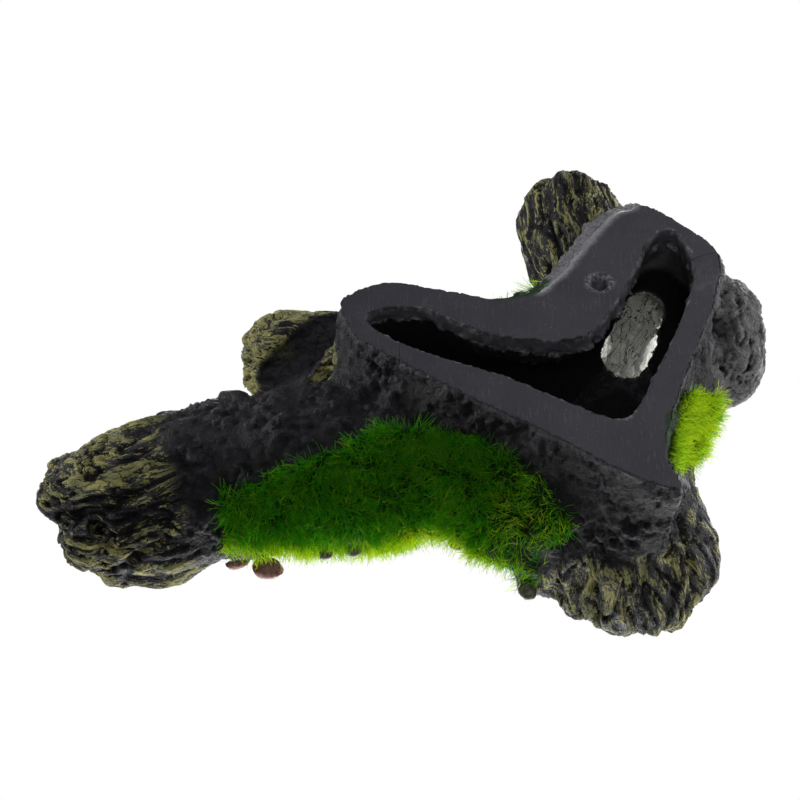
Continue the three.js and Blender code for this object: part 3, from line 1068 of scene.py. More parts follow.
def streak_group() -> bpy.types.NodeTree:
    """Fine grain in stretched coordinates, and where a dry brush would catch it."""
    group, w, given, out = new_group(
        "grain_streaks",
        [("Grain", Socket.VECTOR, (0, 0, 0)), ("Relief", Socket.NUMBER, 0.5)],
        [("Brush", Socket.NUMBER), ("Height", Socket.NUMBER), ("Crack", Socket.NUMBER)])
    grain = given["Grain"]
    wide = w.noise(grain, 0.42, 3, 0.55)
    narrow = w.noise(grain, 1.7, 4, 0.7)
    line = w.math("ABSOLUTE", w.math("SUBTRACT", w.noise(grain, 0.6, 1, 0.4), 0.5))
    crack = w.spread(line, 0.0, 0.03, 1.0, 0.0)
    patch = w.noise(grain, 0.11, 2, 0.5)
    caught = w.plus(w.times(narrow, 0.9), w.times(wide, 0.6))
    caught = w.plus(caught, w.times(patch, 0.45))
    caught = w.plus(caught, w.times(given["Relief"], 0.32))
    w.link(w.spread(caught, 1.17, 1.26), out["Brush"])
    w.link(crack, out["Crack"])
    raised = w.plus(w.times(narrow, 0.7), w.times(wide, 0.6))
    w.link(w.math("SUBTRACT", raised, w.times(crack, 0.8)), out["Height"])
    return group


@dataclass(frozen=True)
class ResinFinishAndPaintedLight:
    """Charcoal resin: sanded ring, lumpy bark, and olive dry-brushed over the grain, with painted shade in
    the cave and painted light on the loop root, the back facet and the opening's inner walls.
    """

    name: str
    sanded: Colour = (0.030, 0.029, 0.040, 1)
    bark: Colour = (0.0070, 0.0068, 0.0088, 1)
    worn: Colour = (0.045, 0.044, 0.054, 1)
    olive: Colour = (0.36, 0.34, 0.125, 1)
    # Painted light: pale dry brush on the loop root's lit side.
    pale: Colour = (0.85, 0.84, 0.76, 1)
    moss_glue: Colour = (0.008, 0.028, 0.003, 1)
    bark_light: Colour = (0.0165, 0.0160, 0.0205, 1)
    sanded_dark: Colour = (0.018, 0.0175, 0.024, 1)
    # Painted light on the opening's inner lip and left inner wall.
    lip_sanded_painted_light: Colour = (0.055, 0.054, 0.062, 1)
    # Pale wear on the ring's outer edge, and painted light on the back facet.
    rim: Colour = (0.23, 0.225, 0.24, 1)
    burl: Colour = (0.105, 0.103, 0.107, 1)
    olive_dark: Colour = (0.23, 0.235, 0.11, 1)
    # Painted light on the loop root's lit side.
    root: Colour = (0.86, 0.86, 0.78, 1)
    crack: Colour = (0.004, 0.004, 0.004, 1)
    scuff: Colour = (0.12, 0.12, 0.135, 1)
    glint: Colour = (0.20, 0.20, 0.22, 1)
    pore: Colour = (0.005, 0.005, 0.006, 1)
    chip: Colour = (0.20, 0.195, 0.19, 1)
    # Painted shade inside the cave.
    cave: Colour = (0.0025, 0.0025, 0.0028, 1)

    def make(self, scuffs: bpy.types.NodeTree, streaks: bpy.types.NodeTree) -> bpy.types.Material:
        """Builds the material.

        Args:
            scuffs: the shared scuff group.
            streaks: the shared grain group.

        Returns:
            The material.
        """
        material, w, shader, _ = new_material(self.name)
        place = w.place()
        wear = w.add("ShaderNodeGroup", node_tree=scuffs)
        w.link(place, wear.inputs["Place"])
        wear.inputs["Scuff Amount"].default_value = 0.9
        relief = w.attribute("relief")
        sanded = w.attribute("sanded")
        wood = w.attribute("olive")
        drawn = w.add("ShaderNodeGroup", node_tree=streaks)
        w.link(w.direction("grain"), drawn.inputs["Grain"])
        w.link(relief, drawn.inputs["Relief"])
        cloud = wear.outputs["Cloud"]
        broad = w.spread(w.noise(place, 38, 4, 0.6), 0.32, 0.68)
        bark = w.mix(w.times(broad, 0.6), self.bark, self.bark_light)
        ring = w.mix(w.times(broad, 0.45), self.sanded, self.sanded_dark)
        base = w.mix(sanded, bark, ring)
        # Painted light: the inner lip and the left inner wall are lightened.
        base = w.mix(w.attribute("lip_sanded_painted_light"), base, self.lip_sanded_painted_light)
        base = w.mix(w.times(w.spread(cloud, 0.35, 0.7, 0, 0.55), sanded), base, self.worn)
        grit = w.noise(place, 900, 4, 0.75)
        # The ring's worn outer edge, and painted light on the back facet.
        rim = w.times(w.attribute("rim"), w.spread(grit, 0.3, 0.7, 0.35, 1.0))
        base = w.mix(rim, base, self.rim)
        high = w.spread(w.plus(relief, w.times(grit, 0.8)), 0.85, 1.2, 0, 0.4)
        dry = w.times(high, w.rest(sanded))
        base = w.mix(dry, base, self.worn)
        grey = w.times(w.attribute("burl"), w.spread(relief, 0.35, 0.8, 0.05, 0.8))
        base = w.mix(grey, base, self.burl)
        paint = w.times(drawn.outputs["Brush"], w.spread(wood, 0.35, 0.9))
        tint = w.mix(w.spread(w.noise(place, 160, 2, 0.5), 0.4, 0.65), self.olive, self.olive_dark)
        # Painted light: the loop root's lit side is painted near white, with a pale dry brush.
        tint = w.mix(w.attribute("root"), tint, self.pale)
        base = w.mix(w.times(w.attribute("root"), 0.95), base, self.root)
        base = w.mix(paint, base, tint)
        cracks = w.times(drawn.outputs["Crack"], w.spread(wood, 0.35, 0.9))
        base = w.mix(w.times(cracks, 0.85), base, self.crack)
        rubbed = w.times(wear.outputs["Scuffs"], w.times(sanded, 0.35))
        base = w.mix(rubbed, base, self.scuff)
        specks = w.spread(w.noise(place, 1500, 2, 0.6), 0.66, 0.72)
        glints = w.times(specks, w.spread(cloud, 0.4, 0.6))
        base = w.mix(w.times(glints, 0.55), base, self.glint)
        base = w.mix(w.times(wear.outputs["Pores"], 0.5), base, self.pore)
        chips = w.times(w.attribute("burr"), w.spread(w.noise(place, 800, 3, 0.6), 0.42, 0.6))
        base = w.mix(w.times(chips, 0.8), base, self.chip)
        base = w.mix(w.attribute("mossy"), base, self.moss_glue)
        # Painted shade: the cave's inside is painted near black, except on the loop root.
        shade = w.times(w.attribute("cave"), w.rest(w.attribute("root")))
        base = w.mix(shade, base, self.cave)
        w.link(base, shader.inputs["Base Color"])
        rough = w.plus(w.times(cloud, 0.35), 0.36)
        rough = w.plus(rough, w.times(paint, 0.3))
        rough = w.plus(rough, w.times(shade, 0.4), clamp=True)
        w.link(rough, shader.inputs["Roughness"])
        shader.inputs["Specular IOR Level"].default_value = 0.24
        fine = w.times(wear.outputs["Height"], 0.5)
        grooved = w.times(drawn.outputs["Height"], w.spread(wood, 0.2, 0.9))
        split = w.math("ABSOLUTE", w.math("SUBTRACT", w.noise(place, 240, 5, 0.62), 0.5))
        rugged = w.plus(w.noise(place, 420, 6, 0.75), w.times(grit, 0.35))
        rugged = w.plus(w.times(rugged, 1.3), w.spread(split, 0.0, 0.06, 0.0, 0.6))
        lumps = w.times(rugged, w.rest(sanded))
        height = w.plus(w.times(fine, 0.3), w.plus(grooved, lumps))
        w.bump(shader, height, 1.0, 0.0008)
        return material


@dataclass(frozen=True)
class FlockFinish:
    """Nylon moss fibres that glow where light comes through them."""

    name: str
    root: Colour = (0.010, 0.050, 0.002, 1)
    blade: Colour = (0.035, 0.34, 0.010, 1)
    pale: Colour = (0.48, 0.72, 0.03, 1)
    glow_green: Colour = (0.09, 0.60, 0.006, 1)
    glow_straw: Colour = (0.92, 1.0, 0.06, 1)

    def make(self) -> bpy.types.Material:
        """Builds the material.

        Returns:
            The material.
        """
        material, w, shader, out = new_material(self.name)
        tone = w.attribute("fibre_tone")
        height = w.attribute("fibre_height")
        colour = w.mix(w.spread(tone, 0.0, 1.0), self.blade, self.pale)
        colour = w.mix(w.spread(height, 0.0, 0.55, 1.0, 0.0), colour, self.root)
        tips = w.times(w.spread(height, 0.6, 1.0), w.spread(tone, 0.0, 0.6, 0.15, 0.7))
        colour = w.mix(tips, colour, self.pale)
        w.link(colour, shader.inputs["Base Color"])
        w.link(w.spread(tone, 0, 1, 0.42, 0.6), shader.inputs["Roughness"])
        shader.inputs["Specular IOR Level"].default_value = 0.15
        glow = w.add("ShaderNodeBsdfTranslucent")
        lit = w.mix(w.spread(tone, 0.1, 0.9), self.glow_green, self.glow_straw)
        w.link(w.mix(w.spread(height, 0.0, 0.6, 1.0, 0.0), lit, self.root), glow.inputs["Color"])
        blend = w.add("ShaderNodeMixShader")
        blend.inputs[0].default_value = 0.55
        w.link(shader.outputs[0], blend.inputs[1])
        w.link(glow.outputs[0], blend.inputs[2])
        w.link(blend.outputs[0], out.inputs["Surface"])
        return material


@dataclass(frozen=True)
class StoneFinish:
    """A tumbled pebble or broken chip."""

    name: str
    dark: Colour
    light: Colour
    roughness: float

    def make(self) -> bpy.types.Material:
        """Builds the material.

        Returns:
            The material.
        """
        material, w, shader, _ = new_material(self.name)
        place = w.place()
        cloud = w.noise(place, 420, 5, 0.7)
        spots = w.spread(w.noise(place, 1900, 2, 0.5), 0.58, 0.7)
        base = w.mix(w.spread(cloud, 0.3, 0.7), self.dark, self.light)
        base = w.mix(w.times(spots, 0.5), base, self.dark)
        w.link(base, shader.inputs["Base Color"])
        w.link(w.spread(cloud, 0.2, 0.8, self.roughness, self.roughness + 0.2), shader.inputs["Roughness"])
        w.bump(shader, w.noise(place, 1500, 5, 0.7), 0.5, 0.0002)
        return material


# ---------------------------------------------------------------- sub-assemblies


@dataclass
class Castings:
    """The resin castings: two shells, five broken branches and the loop root."""

    shells: tuple[str, ...] = ("front_shell", "rear_shell")
    branches: tuple[str, ...] = ("long_branch", "right_rear_stub", "rear_stub", "left_burl",
                                 "front_stump", "loop_root")
    moss_nodes: tuple[str, ...] = ("front_moss", "stump_moss", "left_moss", "rear_moss", "crown_moss")
    voxel: float = 0.74
    relax_rounds: int = 4
    skins: dict[str, Skin] = field(default_factory=dict)
    pads: BVHTree | None = None

    def names(self) -> list[str]:
        """Returns the names of all the castings."""
        return [*self.shells, *self.branches]

    def mark_moss(self, skin: Skin) -> None:
        """Marks the bark that lies in the green glue under moss.

        Args:
            skin: the piece, marked in place.
        """
        if self.pads is None:
            self.pads = cad_tree(list(self.moss_nodes))[1]
        gaps = np.full(len(skin.points), 9.0)
        for i, point in enumerate(skin.points.tolist()):
            gap = self.pads.find_nearest(point, 3.5)[3]
            if gap is not None:
                gaps[i] = gap
        gaps = gaps + 1.4 * layered_noise(skin.points, 6, 3, 601)
        skin.marks["mossy"] = (1 - smooth01(1.2, 2.2, gaps)) * (1 - skin.marks["inside"])

    def build(self, finishes: dict[str, bpy.types.Material]) -> list[bpy.types.Object]:
        """Sculpts and dresses every casting.

        Args:
            finishes: materials by record slot.

        Returns:
            The pieces.
        """
        voxel = self.voxel * 1.0
        bark = Bark.of_castings(self.names())
        joints = Joints(self.shells)
        joints.measure(self.names())
        pieces = []
        for name in self.names():
            skin = remeshed([name], voxel)
            gaps, moves = joints.pulls(name, skin)
            skin.relax(self.relax_rounds, np.where(gaps < 1.5, 0.06, 0.5)[:, None])
            skin.points += moves
            self.skins[name] = skin
            bark.sculpt(skin)
            self.mark_moss(skin)
            piece = skin.as_object(name + "_cast")
            slot = "cast_resin" if name in self.shells else "bark_resin"
            piece.data.materials.append(finishes[slot])
            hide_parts(name)
            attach(piece, BODY)
            pieces.append(piece)
            LOG.info("casting %s: %d faces", name, len(self.skins[name].faces))
        return pieces


@dataclass
class FibreField:
    """The Geometry Nodes tree that stands flock fibres on a glued patch."""

    shapes: int = 6
    seed: int = 3

    def tree(self, material: bpy.types.Material) -> bpy.types.NodeTree:
        """Builds the tree.

        Args:
            material: the fibres' finish.

        Returns:
            The tree, with named inputs.
        """
        tree = bpy.data.node_groups.new("flock_fibres", "GeometryNodeTree")
        face = tree.interface
        face.new_socket("Geometry", in_out="INPUT", socket_type="NodeSocketGeometry")
        for label, default in (("Density", 2.0e6), ("Length", 0.006), ("Thickness", 0.00023),
                               ("Lean", 0.7), ("Pale Share", 0.3)):
            face.new_socket(label, in_out="INPUT", socket_type="NodeSocketFloat").default_value = default
        face.new_socket("Seed", in_out="INPUT", socket_type="NodeSocketInt").default_value = self.seed
        face.new_socket("Geometry", in_out="OUTPUT", socket_type="NodeSocketGeometry")
        w = Wiring(tree)
        given = {s.name: s for s in w.add("NodeGroupInput").outputs if s.name}
        scatter = w.add("GeometryNodeDistributePointsOnFaces")
        w.link(given["Geometry"], scatter.inputs["Mesh"])
        w.link(w.times(given["Density"], w.stored("cover")), scatter.inputs["Density"])
        w.link(given["Seed"], scatter.inputs["Seed"])
        blades = self.blades(w, given)
        stand = w.add("GeometryNodeInstanceOnPoints")
        w.link(scatter.outputs["Points"], stand.inputs["Points"])
        w.link(blades, stand.inputs["Instance"])
        stand.inputs["Pick Instance"].default_value = True
        pick = self.random(w, given["Seed"], 0.0, self.shapes - 0.01, 11)
        w.link(pick, stand.inputs["Instance Index"])
        w.link(self.pose(w, given, scatter.outputs["Normal"]), stand.inputs["Rotation"])
        size = w.add("ShaderNodeCombineXYZ")
        girth = self.random(w, given["Seed"], 0.75, 1.25, 17)
        w.link(girth, size.inputs[0])
        w.link(girth, size.inputs[1])
        short = w.rest(w.times(w.stored("rim"), 0.1))
        tall = self.random(w, given["Seed"], 0.55, 1.15, 19)
        w.link(w.times(tall, short), size.inputs[2])
        w.link(size.outputs[0], stand.inputs["Scale"])
        toned = w.add("GeometryNodeStoreNamedAttribute", data_type="FLOAT", domain="INSTANCE")
        toned.inputs["Name"].default_value = "fibre_tone"
        w.link(stand.outputs[0], toned.inputs["Geometry"])
        w.link(self.tone(w, given), toned.inputs["Value"])
        real = w.add("GeometryNodeRealizeInstances")
        w.link(toned.outputs[0], real.inputs[0])
        dressed = w.add("GeometryNodeSetMaterial")
        w.link(real.outputs[0], dressed.inputs["Geometry"])
        dressed.inputs["Material"].default_value = material
        w.link(dressed.outputs[0], w.add("NodeGroupOutput").inputs[0])
        return tree

    @staticmethod
    def random(w: Wiring, seed: bpy.types.NodeSocket, low: float, high: float,
               channel: int) -> bpy.types.NodeSocket:
        """Returns a random number that differs for each fibre.

        Args:
            w: the tree's wiring.
            seed: the tree's seed input.
            low: the smallest value.
            high: the largest value.
            channel: keeps this choice apart from the others.

        Returns:
            The number.
        """
        node = w.add("FunctionNodeRandomValue", data_type="FLOAT")
        node.inputs[2].default_value = low
        node.inputs[3].default_value = high
        node.inputs["ID"].default_value = 0
        w.link(w.add("GeometryNodeInputIndex").outputs[0], node.inputs["ID"])
        w.link(w.plus(seed, float(channel)), node.inputs["Seed"])
        return node.outputs[1]

    def tone(self, w: Wiring, given: dict) -> bpy.types.NodeSocket:
        """Returns each fibre's tone, from deep green at 0 to straw green at 1, raised along the rim for a
        painted backlit glow.
        """
        place = w.add("GeometryNodeInputPosition").outputs[0]
        patch = w.add("ShaderNodeTexNoise")
        w.link(place, patch.inputs["Vector"])
        patch.inputs["Scale"].default_value = 90
        each = self.random(w, given["Seed"], 0.0, 1.0, 23)
        both = w.plus(w.times(each, 0.6), w.times(patch.outputs[0], 0.6))
        share = w.times(given["Pale Share"], 2.2)
        # Painted light: the rim mark raises the tone, for a painted glow of light coming through the fibres
        # from behind.
        share = w.plus(share, w.times(w.stored("rim"), 2.6))
        bright = w.math("GREATER_THAN", self.random(w, given["Seed"], 0.0, 1.0, 37), 0.9)
        toned = w.times(w.math("POWER", both, 2.0), share)
        return w.plus(toned, w.times(bright, 0.35), clamp=True)

    def pose(self, w: Wiring, given: dict, normal: bpy.types.NodeSocket) -> bpy.types.NodeSocket:
        """Leans each fibre away from the surface's normal and spins it.

        Args:
            w: the tree's wiring.
            given: the tree's inputs.
            normal: the surface's normal.

        Returns:
            The rotation.
        """
        sway = w.add("FunctionNodeRandomValue", data_type="FLOAT_VECTOR")
        sway.inputs[0].default_value = (-0.5, -0.5, -0.5)
        sway.inputs[1].default_value = (0.5, 0.5, 0.5)
        w.link(w.add("GeometryNodeInputIndex").outputs[0], sway.inputs["ID"])
        w.link(w.plus(given["Seed"], 29.0), sway.inputs["Seed"])
        comb = w.add("ShaderNodeTexNoise")
        w.link(w.add("GeometryNodeInputPosition").outputs[0], comb.inputs["Vector"])
        comb.inputs["Scale"].default_value = 95
        centred = w.vector("SUBTRACT", comb.outputs["Color"], (0.5, 0.5, 0.5))
        sum_sway = w.vector("ADD", sway.outputs[0], w.vector("SCALE", centred, 5.0))
        aim = w.vector("ADD", normal, w.vector("SCALE", sum_sway, given["Lean"]))
        unit = w.add("ShaderNodeVectorMath", operation="NORMALIZE")
        w.link(aim, unit.inputs[0])
        parts = w.add("ShaderNodeSeparateXYZ")
        w.link(unit.outputs[0], parts.inputs[0])
        spot = w.add("ShaderNodeSeparateXYZ")
        w.link(w.add("GeometryNodeInputPosition").outputs[0], spot.inputs[0])
        room = w.math("SUBTRACT", spot.outputs[2], FIBRE_CLEARANCE)
        lowest = w.times(w.math("DIVIDE", room, given["Length"]), FIBRE_DROP)
        level = w.add("ShaderNodeCombineXYZ")
        w.link(parts.outputs[0], level.inputs[0])
        w.link(parts.outputs[1], level.inputs[1])
        w.link(w.math("MAXIMUM", parts.outputs[2], lowest), level.inputs[2])
        align = w.add("FunctionNodeAlignRotationToVector", axis="Z")
        w.link(level.outputs[0], align.inputs["Vector"])
        spin = w.add("FunctionNodeAxisAngleToRotation")
        spin.inputs["Axis"].default_value = (0, 0, 1)
        w.link(self.random(w, given["Seed"], 0.0, 6.283, 31), spin.inputs["Angle"])
        turn = w.add("FunctionNodeRotateRotation", rotation_space="LOCAL")
        w.link(align.outputs[0], turn.inputs[0])
        w.link(spin.outputs[0], turn.inputs[1])
        return turn.outputs[0]

    def blades(self, w: Wiring, given: dict) -> bpy.types.NodeSocket:
        """Makes a few fibres that bend by different amounts.

        Args:
            w: the tree's wiring.
            given: the tree's inputs.

        Returns:
            The fibres as instances.
        """
        gather = w.add("GeometryNodeGeometryToInstance")
        section = w.add("GeometryNodeCurvePrimitiveCircle", mode="RADIUS")
        section.inputs["Resolution"].default_value = 3
        w.link(w.times(given["Thickness"], 0.5), section.inputs["Radius"])
        for k in range(self.shapes):
            bend = 0.10 + 0.34 * k / (self.shapes - 1)
            arc = w.add("GeometryNodeCurveQuadraticBezier")
            arc.inputs["Resolution"].default_value = 3
            for label, (side, up) in (("Middle", (0.02, 0.55)), ("End", (bend, 1.0 - 0.3 * bend))):
                spot = w.add("ShaderNodeCombineXYZ")
                w.link(w.times(given["Length"], side), spot.inputs[0])
                w.link(w.times(given["Length"], up), spot.inputs[2])
                w.link(spot.outputs[0], arc.inputs[label])
            arc.inputs["Start"].default_value = (0, 0, -0.0004)
            along = w.add("GeometryNodeSplineParameter").outputs["Factor"]
            marked = w.add("GeometryNodeStoreNamedAttribute", data_type="FLOAT", domain="POINT")
            marked.inputs["Name"].default_value = "fibre_height"
            w.link(arc.outputs[0], marked.inputs["Geometry"])
            w.link(along, marked.inputs["Value"])
            tube = w.add("GeometryNodeCurveToMesh")
            tube.inputs["Fill Caps"].default_value = True
            w.link(marked.outputs[0], tube.inputs["Curve"])
            w.link(section.outputs[0], tube.inputs["Profile Curve"])
            taper = w.spread(along, 0.0, 1.0, 1.0, 0.45)
            if "Scale" in tube.inputs:
                w.link(taper, tube.inputs["Scale"])
            w.link(tube.outputs[0], gather.inputs[0])
        return gather.outputs[0]


@dataclass(frozen=True)
class MossPatch:
    """One glued patch of moss and how its fibres stand.

    Attributes:
        rim: distances above the patch's local hem, in mm, between which its pale edge of painted backlit
            glow ends.
        thin: distances along -X, in mm, between which the patch thins out.
        parts: how many pieces it is made in, side by side along X.
    """

    node: str
    density: float
    length: float
    lean: float
    pale: float
    seed: int
    rim: tuple[float, float] = (-999.0, -998.0)
    thin: tuple[float, float] | None = None
    parts: int = 1


@dataclass
class Moss:
    """All the flocked moss."""

    castings: Castings
    bare: tuple[tuple[tuple[float, float, float], float], ...] = (
        ((53, -17, 51), 10), ((46, -14, 54), 10), ((49, -20, 44), 5), ((38, -12, 60), 7),
        ((-8, -17, 47), 9), ((-16, -18, 48), 7))
    patches: tuple[MossPatch, ...] = (
        MossPatch("front_moss", 4.6e6, 0.0066, 0.6, 0.17, 5, (1.5, 9), (24, 44), 6),
        MossPatch("stump_moss", 1.6e6, 0.0056, 0.8, 0.4, 7, (0, 6)),
        MossPatch("left_moss", 3.4e6, 0.0058, 0.75, 1.2, 9),
        MossPatch("rear_moss", 1.4e6, 0.0055, 0.7, 0.9, 12),
        MossPatch("crown_moss", 2.0e6, 0.0064, 0.65, 0.4, 15),
    )

    def bed(self, patch: MossPatch, part: int) -> Skin | None:
        """The sculpted bark that lies under a patch.

        Args:
            patch: the patch.
            part: which part of it, counted along X.

        Returns:
            The faces under it, or None where there are none.
        """
        pad = merged_copy([patch.node])
        tree = BVHTree.FromPolygons(
            [(Vector(v.co) / MM - Vector(DRAWING_ORIGIN))[:] for v in pad.data.vertices],
            [list(p.vertices) for p in pad.data.polygons])
        low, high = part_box(patch.node)
        bpy.data.objects.remove(pad)
        lo, hi = np.array(low) / MM - DRAWING_ORIGIN, np.array(high) / MM - DRAWING_ORIGIN
        cut = lo[0] + (hi[0] - lo[0]) * np.array([part, part + 1]) / patch.parts
        cut[0] = cut[0] if part else -np.inf
        cut[1] = cut[1] if part + 1 < patch.parts else np.inf
        corners, gaps = [], []
        for name in self.castings.names():
            skin = self.castings.skins[name]
            mid = skin.points[skin.faces].mean(1)
            near = ((mid > lo - 4) & (mid < hi + 4)).all(1)
            near &= skin.marks["inside"][skin.faces[:, 0]] < 0.5
            near &= (mid[:, 0] >= cut[0]) & (mid[:, 0] < cut[1])
            edge = 1.5 * layered_noise(mid, 7, 3, 611)
            for i in np.nonzero(near)[0]:
                gap = tree.find_nearest(mid[i].tolist(), 3.6)[3]
                if gap is not None and gap + edge[i] < 2.0:
                    corners.append(skin.points[skin.faces[i]])
                    gaps.append([gap + edge[i]] * 4)
        if not corners:
            return None
        points = np.array(corners).reshape(-1, 3)
        bed = Skin(points, np.arange(len(points)).reshape(-1, 4))
        row = points[:, 1] - points[:, 2]
        bed.marks["cover"] = 1 - 0.7 * smooth01(0.6, 2.0, np.array(gaps).ravel())
        if patch.thin is not None:
            bed.marks["cover"] *= 1 - 0.75 * smooth01(*patch.thin, -points[:, 0])
        for stone in Stones.names():
            near, far = (np.array(c) / MM - DRAWING_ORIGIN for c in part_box(stone))
            gap = np.linalg.norm(points - (near + far) / 2, axis=1) / np.linalg.norm(far - near)
            bed.marks["cover"] *= 0.02 + 0.98 * smooth01(0.8, 1.15, gap)
        for spot, radius in self.bare:
            gap = np.linalg.norm(points - np.array(spot), axis=1) / radius
            bed.marks["cover"] *= 0.03 + 0.97 * smooth01(0.6, 1.0, gap)
        bed.marks["cover"] *= smooth01(3.0, 5.5, points[:, 2])
        # Painted light: the rim found below, along the patch's lowest edge, makes its fibres paler, a
        # painted glow of light coming through them from behind.
        column = ((points[:, 0] - points[:, 0].min()) // HEM_COLUMN).astype(int)
        lowest = np.full(column.max() + 1, row.max())
        grown = bed.marks["cover"] > 0.3
        np.minimum.at(lowest, column[grown], row[grown])
        middles = points[:, 0].min() + HEM_COLUMN * (np.arange(len(lowest)) + 0.5)
        hem = np.interp(points[:, 0], middles, lowest)
        bed.marks["rim"] = 1 - smooth01(patch.rim[0], patch.rim[1], row - hem)
        return bed

    def build(self, material: bpy.types.Material) -> list[bpy.types.Object]:
        """Stands the fibres of every patch.

        Args:
            material: the fibres' finish.

        Returns:
            The pieces.
        """
        tree = FibreField().tree(material)
        ids = {s.name: s.identifier for s in tree.interface.items_tree if s.in_out == "INPUT"}
        pieces = []
        for patch in self.patches:
            for part in range(patch.parts):
                bed = self.bed(patch, part)
                if bed is None:
                    continue
                host = bed.as_object("bed")
                nodes = host.modifiers.new("flock", "NODES")
                nodes.node_group = tree
                nodes[ids["Density"]] = patch.density * 1.0
                nodes[ids["Length"]] = patch.length
                nodes[ids["Lean"]] = patch.lean
                nodes[ids["Pale Share"]] = patch.pale
                nodes[ids["Seed"]] = patch.seed + 100 * part
                graph = bpy.context.evaluated_depsgraph_get()
                mesh = bpy.data.meshes.new_from_object(host.evaluated_get(graph), depsgraph=graph)
                bpy.data.objects.remove(host)
                name = f"{patch.node}_fibres" + (f"_{part + 1}" if patch.parts > 1 else "")
                piece = placed(name, mesh)
                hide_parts(patch.node)
                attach(piece, BODY)
                pieces.append(piece)
                LOG.info("moss %s: %d triangles", name, sum(len(p.vertices) - 2 for p in mesh.polygons))
        return pieces


@dataclass
class Stones:
    """The glued-on pebbles and chips."""

    brown: tuple[str, ...] = ("red_pebble", "brown_pebble", "crown_pebble")
    dark: tuple[str, ...] = ("dark_pebble", "olive_pebble", "moss_chip", "rim_chip", "crown_chip")

    @classmethod
    def names(cls) -> tuple[str, ...]:
        """Returns the names of all the stones."""
        return cls.brown + cls.dark

    def build(self, finishes: dict[str, bpy.types.Material]) -> list[bpy.types.Object]:
        """Shapes and dresses every stone.

        Args:
            finishes: materials by record slot.

        Returns:
            The pieces.
        """
        pieces = []
        for slot, names in (("brown_stone", self.brown), ("dark_stone", self.dark)):
            for name in names:
                skin = remeshed([name], 0.3)
                skin.relax(3)
                bump = 0.28 * layered_noise(skin.points, 3.2, 3, 500 + len(name))
                skin.points = skin.points + skin.normals() * bump[:, None]
                piece = skin.as_object(name + "_stone")
                piece.data.materials.append(finishes[slot])
                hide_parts(name)
                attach(piece, BODY)
                pieces.append(piece)
                LOG.info("stone %s: %d faces", name, len(skin.faces))
        return pieces


# ---------------------------------------------------------------- studio


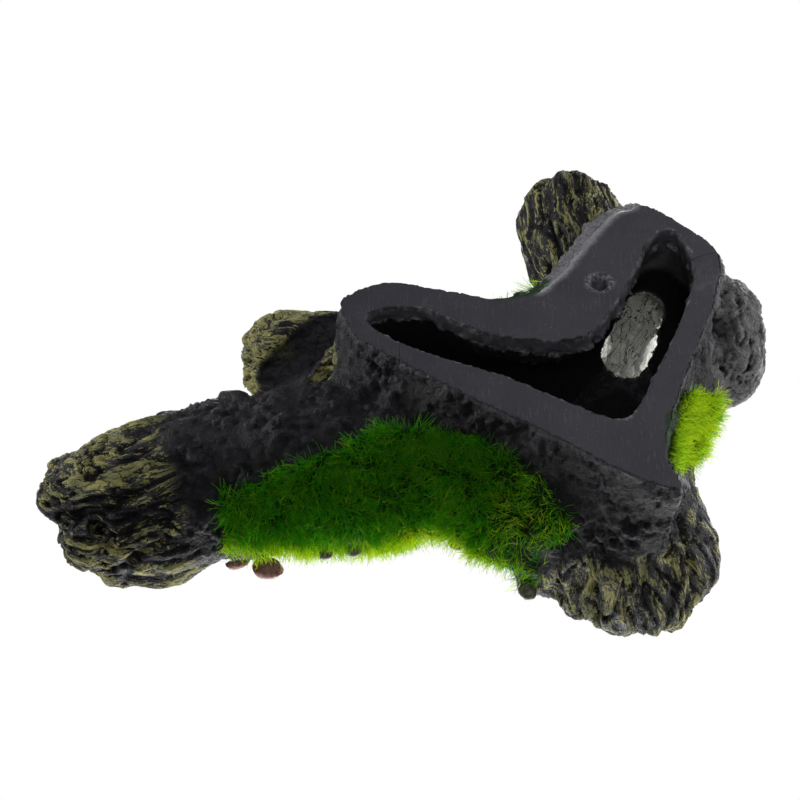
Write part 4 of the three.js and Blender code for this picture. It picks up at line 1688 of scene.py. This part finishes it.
@dataclass
class Studio:
    """A pale floor, soft light from all round, and the camera."""

    distance: float = 0.7
    lens: float = 108.7
    tilt: float = math.radians(45)
    fill: float = 0.085

    def floor(self) -> bpy.types.Object:
        """Makes the pale floor, which shows only from above.

        Returns:
            The floor.
        """
        mesh = bpy.data.meshes.new("floor")
        size, drop = 3.0, -0.0002
        corners = [(x * size, y * size, drop) for x, y in ((-1, -1), (1, -1), (1, 1), (-1, 1))]
        mesh.from_pydata(corners, [], [(0, 1, 2, 3)])
        plane = placed("floor", mesh)
        material, w, shader, out = new_material("pale_floor")
        shader.inputs["Base Color"].default_value = (0.8, 0.8, 0.8, 1)
        shader.inputs["Roughness"].default_value = 0.9
        clear = w.add("ShaderNodeBsdfTransparent")
        blend = w.add("ShaderNodeMixShader")
        w.link(w.add("ShaderNodeNewGeometry").outputs["Backfacing"], blend.inputs[0])
        w.link(shader.outputs[0], blend.inputs[1])
        w.link(clear.outputs[0], blend.inputs[2])
        w.link(blend.outputs[0], out.inputs["Surface"])
        mesh.materials.append(material)
        plane.visible_shadow = False
        plane.visible_diffuse = False
        plane.visible_glossy = False
        plane.visible_transmission = False
        return plane

    def world(self) -> None:
        """Surrounds the ornament with a white room."""
        world = bpy.data.worlds.new("white_room")
        bpy.context.scene.world = world
        world.use_nodes = True
        w = Wiring(world.node_tree)
        world.node_tree.nodes.clear()
        blend = w.add("ShaderNodeMixShader")
        w.link(w.add("ShaderNodeLightPath").outputs["Is Camera Ray"], blend.inputs[0])
        for i, strength in ((1, self.fill), (2, 1.0)):
            room = w.add("ShaderNodeBackground")
            room.inputs["Color"].default_value = (1, 1, 1, 1)
            room.inputs["Strength"].default_value = strength
            w.link(room.outputs[0], blend.inputs[i])
        w.link(blend.outputs[0], w.add("ShaderNodeOutputWorld").inputs[0])

    @staticmethod
    def lamp(name: str, place: tuple[float, float, float], size: float, power: float) -> None:
        """Adds a soft lamp that points at the ornament.

        Args:
            name: the lamp's name.
            place: where it hangs, in metres.
            size: its width in metres.
            power: its power in watts.
        """
        data = bpy.data.lights.new(name, "AREA")
        data.shape = "DISK"
        data.size = size
        data.energy = power
        lamp = placed(name, data)
        aim = Vector((0, 0, 0.03)) - Vector(place)
        lamp.matrix_world = Matrix.Translation(place) @ aim.to_track_quat("-Z", "Y").to_matrix().to_4x4()
        lamp.visible_camera = False

    def lamps(self) -> None:
        """Hangs soft boxes all round the ornament."""
        for name, place, size, power in (
            ("behind", (-0.15, 0.75, 0.75), 1.3, 44),
            ("low_back", (-0.55, 0.70, -0.6), 0.9, 4.2),
            ("below", (-0.12, -0.05, -0.95), 0.5, 1.8),
            ("top", (0.0, -0.35, 0.95), 1.0, 22),
            ("front_low", (-0.05, -0.65, -0.68), 0.4, 1.9),
            ("left_side", (-0.9, 0.1, 0.1), 0.6, 9),
            ("right_side", (0.95, 0.25, -0.05), 0.6, 11),
        ):
            self.lamp(name, place, size, power)

    def camera(self) -> None:
        """Sets the camera in front of and below the ornament, turned upside down."""
        ahead = Vector((0, math.cos(self.tilt), math.sin(self.tilt)))
        right = Vector((-1, 0, 0))
        up = right.cross(ahead)
        data = bpy.data.cameras.new("camera")
        data.lens = self.lens
        data.clip_start = 0.01
        camera = placed("camera", data)
        aim = Vector(DRAWING_ORIGIN) * MM
        turn = Matrix((right, up, -ahead)).transposed().to_4x4()
        camera.matrix_world = Matrix.Translation(aim - ahead * self.distance) @ turn
        bpy.context.scene.camera = camera

    def build(self) -> None:
        """Makes the floor, the light and the camera."""
        self.floor()
        self.world()
        self.lamps()
        self.camera()
        bpy.context.scene.view_settings.view_transform = "Standard"
        LOG.info("studio ready")


def main() -> None:
    """Builds the ornament's visual model and its studio."""
    logging.basicConfig(level=logging.INFO, format="%(message)s")
    Studio().build()
    scuffs, streaks = scuff_group(), streak_group()
    finishes = {
        "cast_resin": ResinFinishAndPaintedLight("cast_resin").make(scuffs, streaks),
        "bark_resin": ResinFinishAndPaintedLight("bark_resin").make(scuffs, streaks),
        "moss": FlockFinish("moss").make(),
        "brown_stone": StoneFinish("brown_stone", (0.13, 0.05, 0.038, 1), (0.34, 0.17, 0.13, 1), 0.5).make(),
        "dark_stone": StoneFinish("dark_stone", (0.03, 0.026, 0.02, 1), (0.16, 0.15, 0.11, 1), 0.35).make(),
    }
    castings = Castings()
    castings.build(finishes)
    Moss(castings).build(finishes["moss"])
    Stones().build(finishes)


if __name__ == "__main__":
    main()
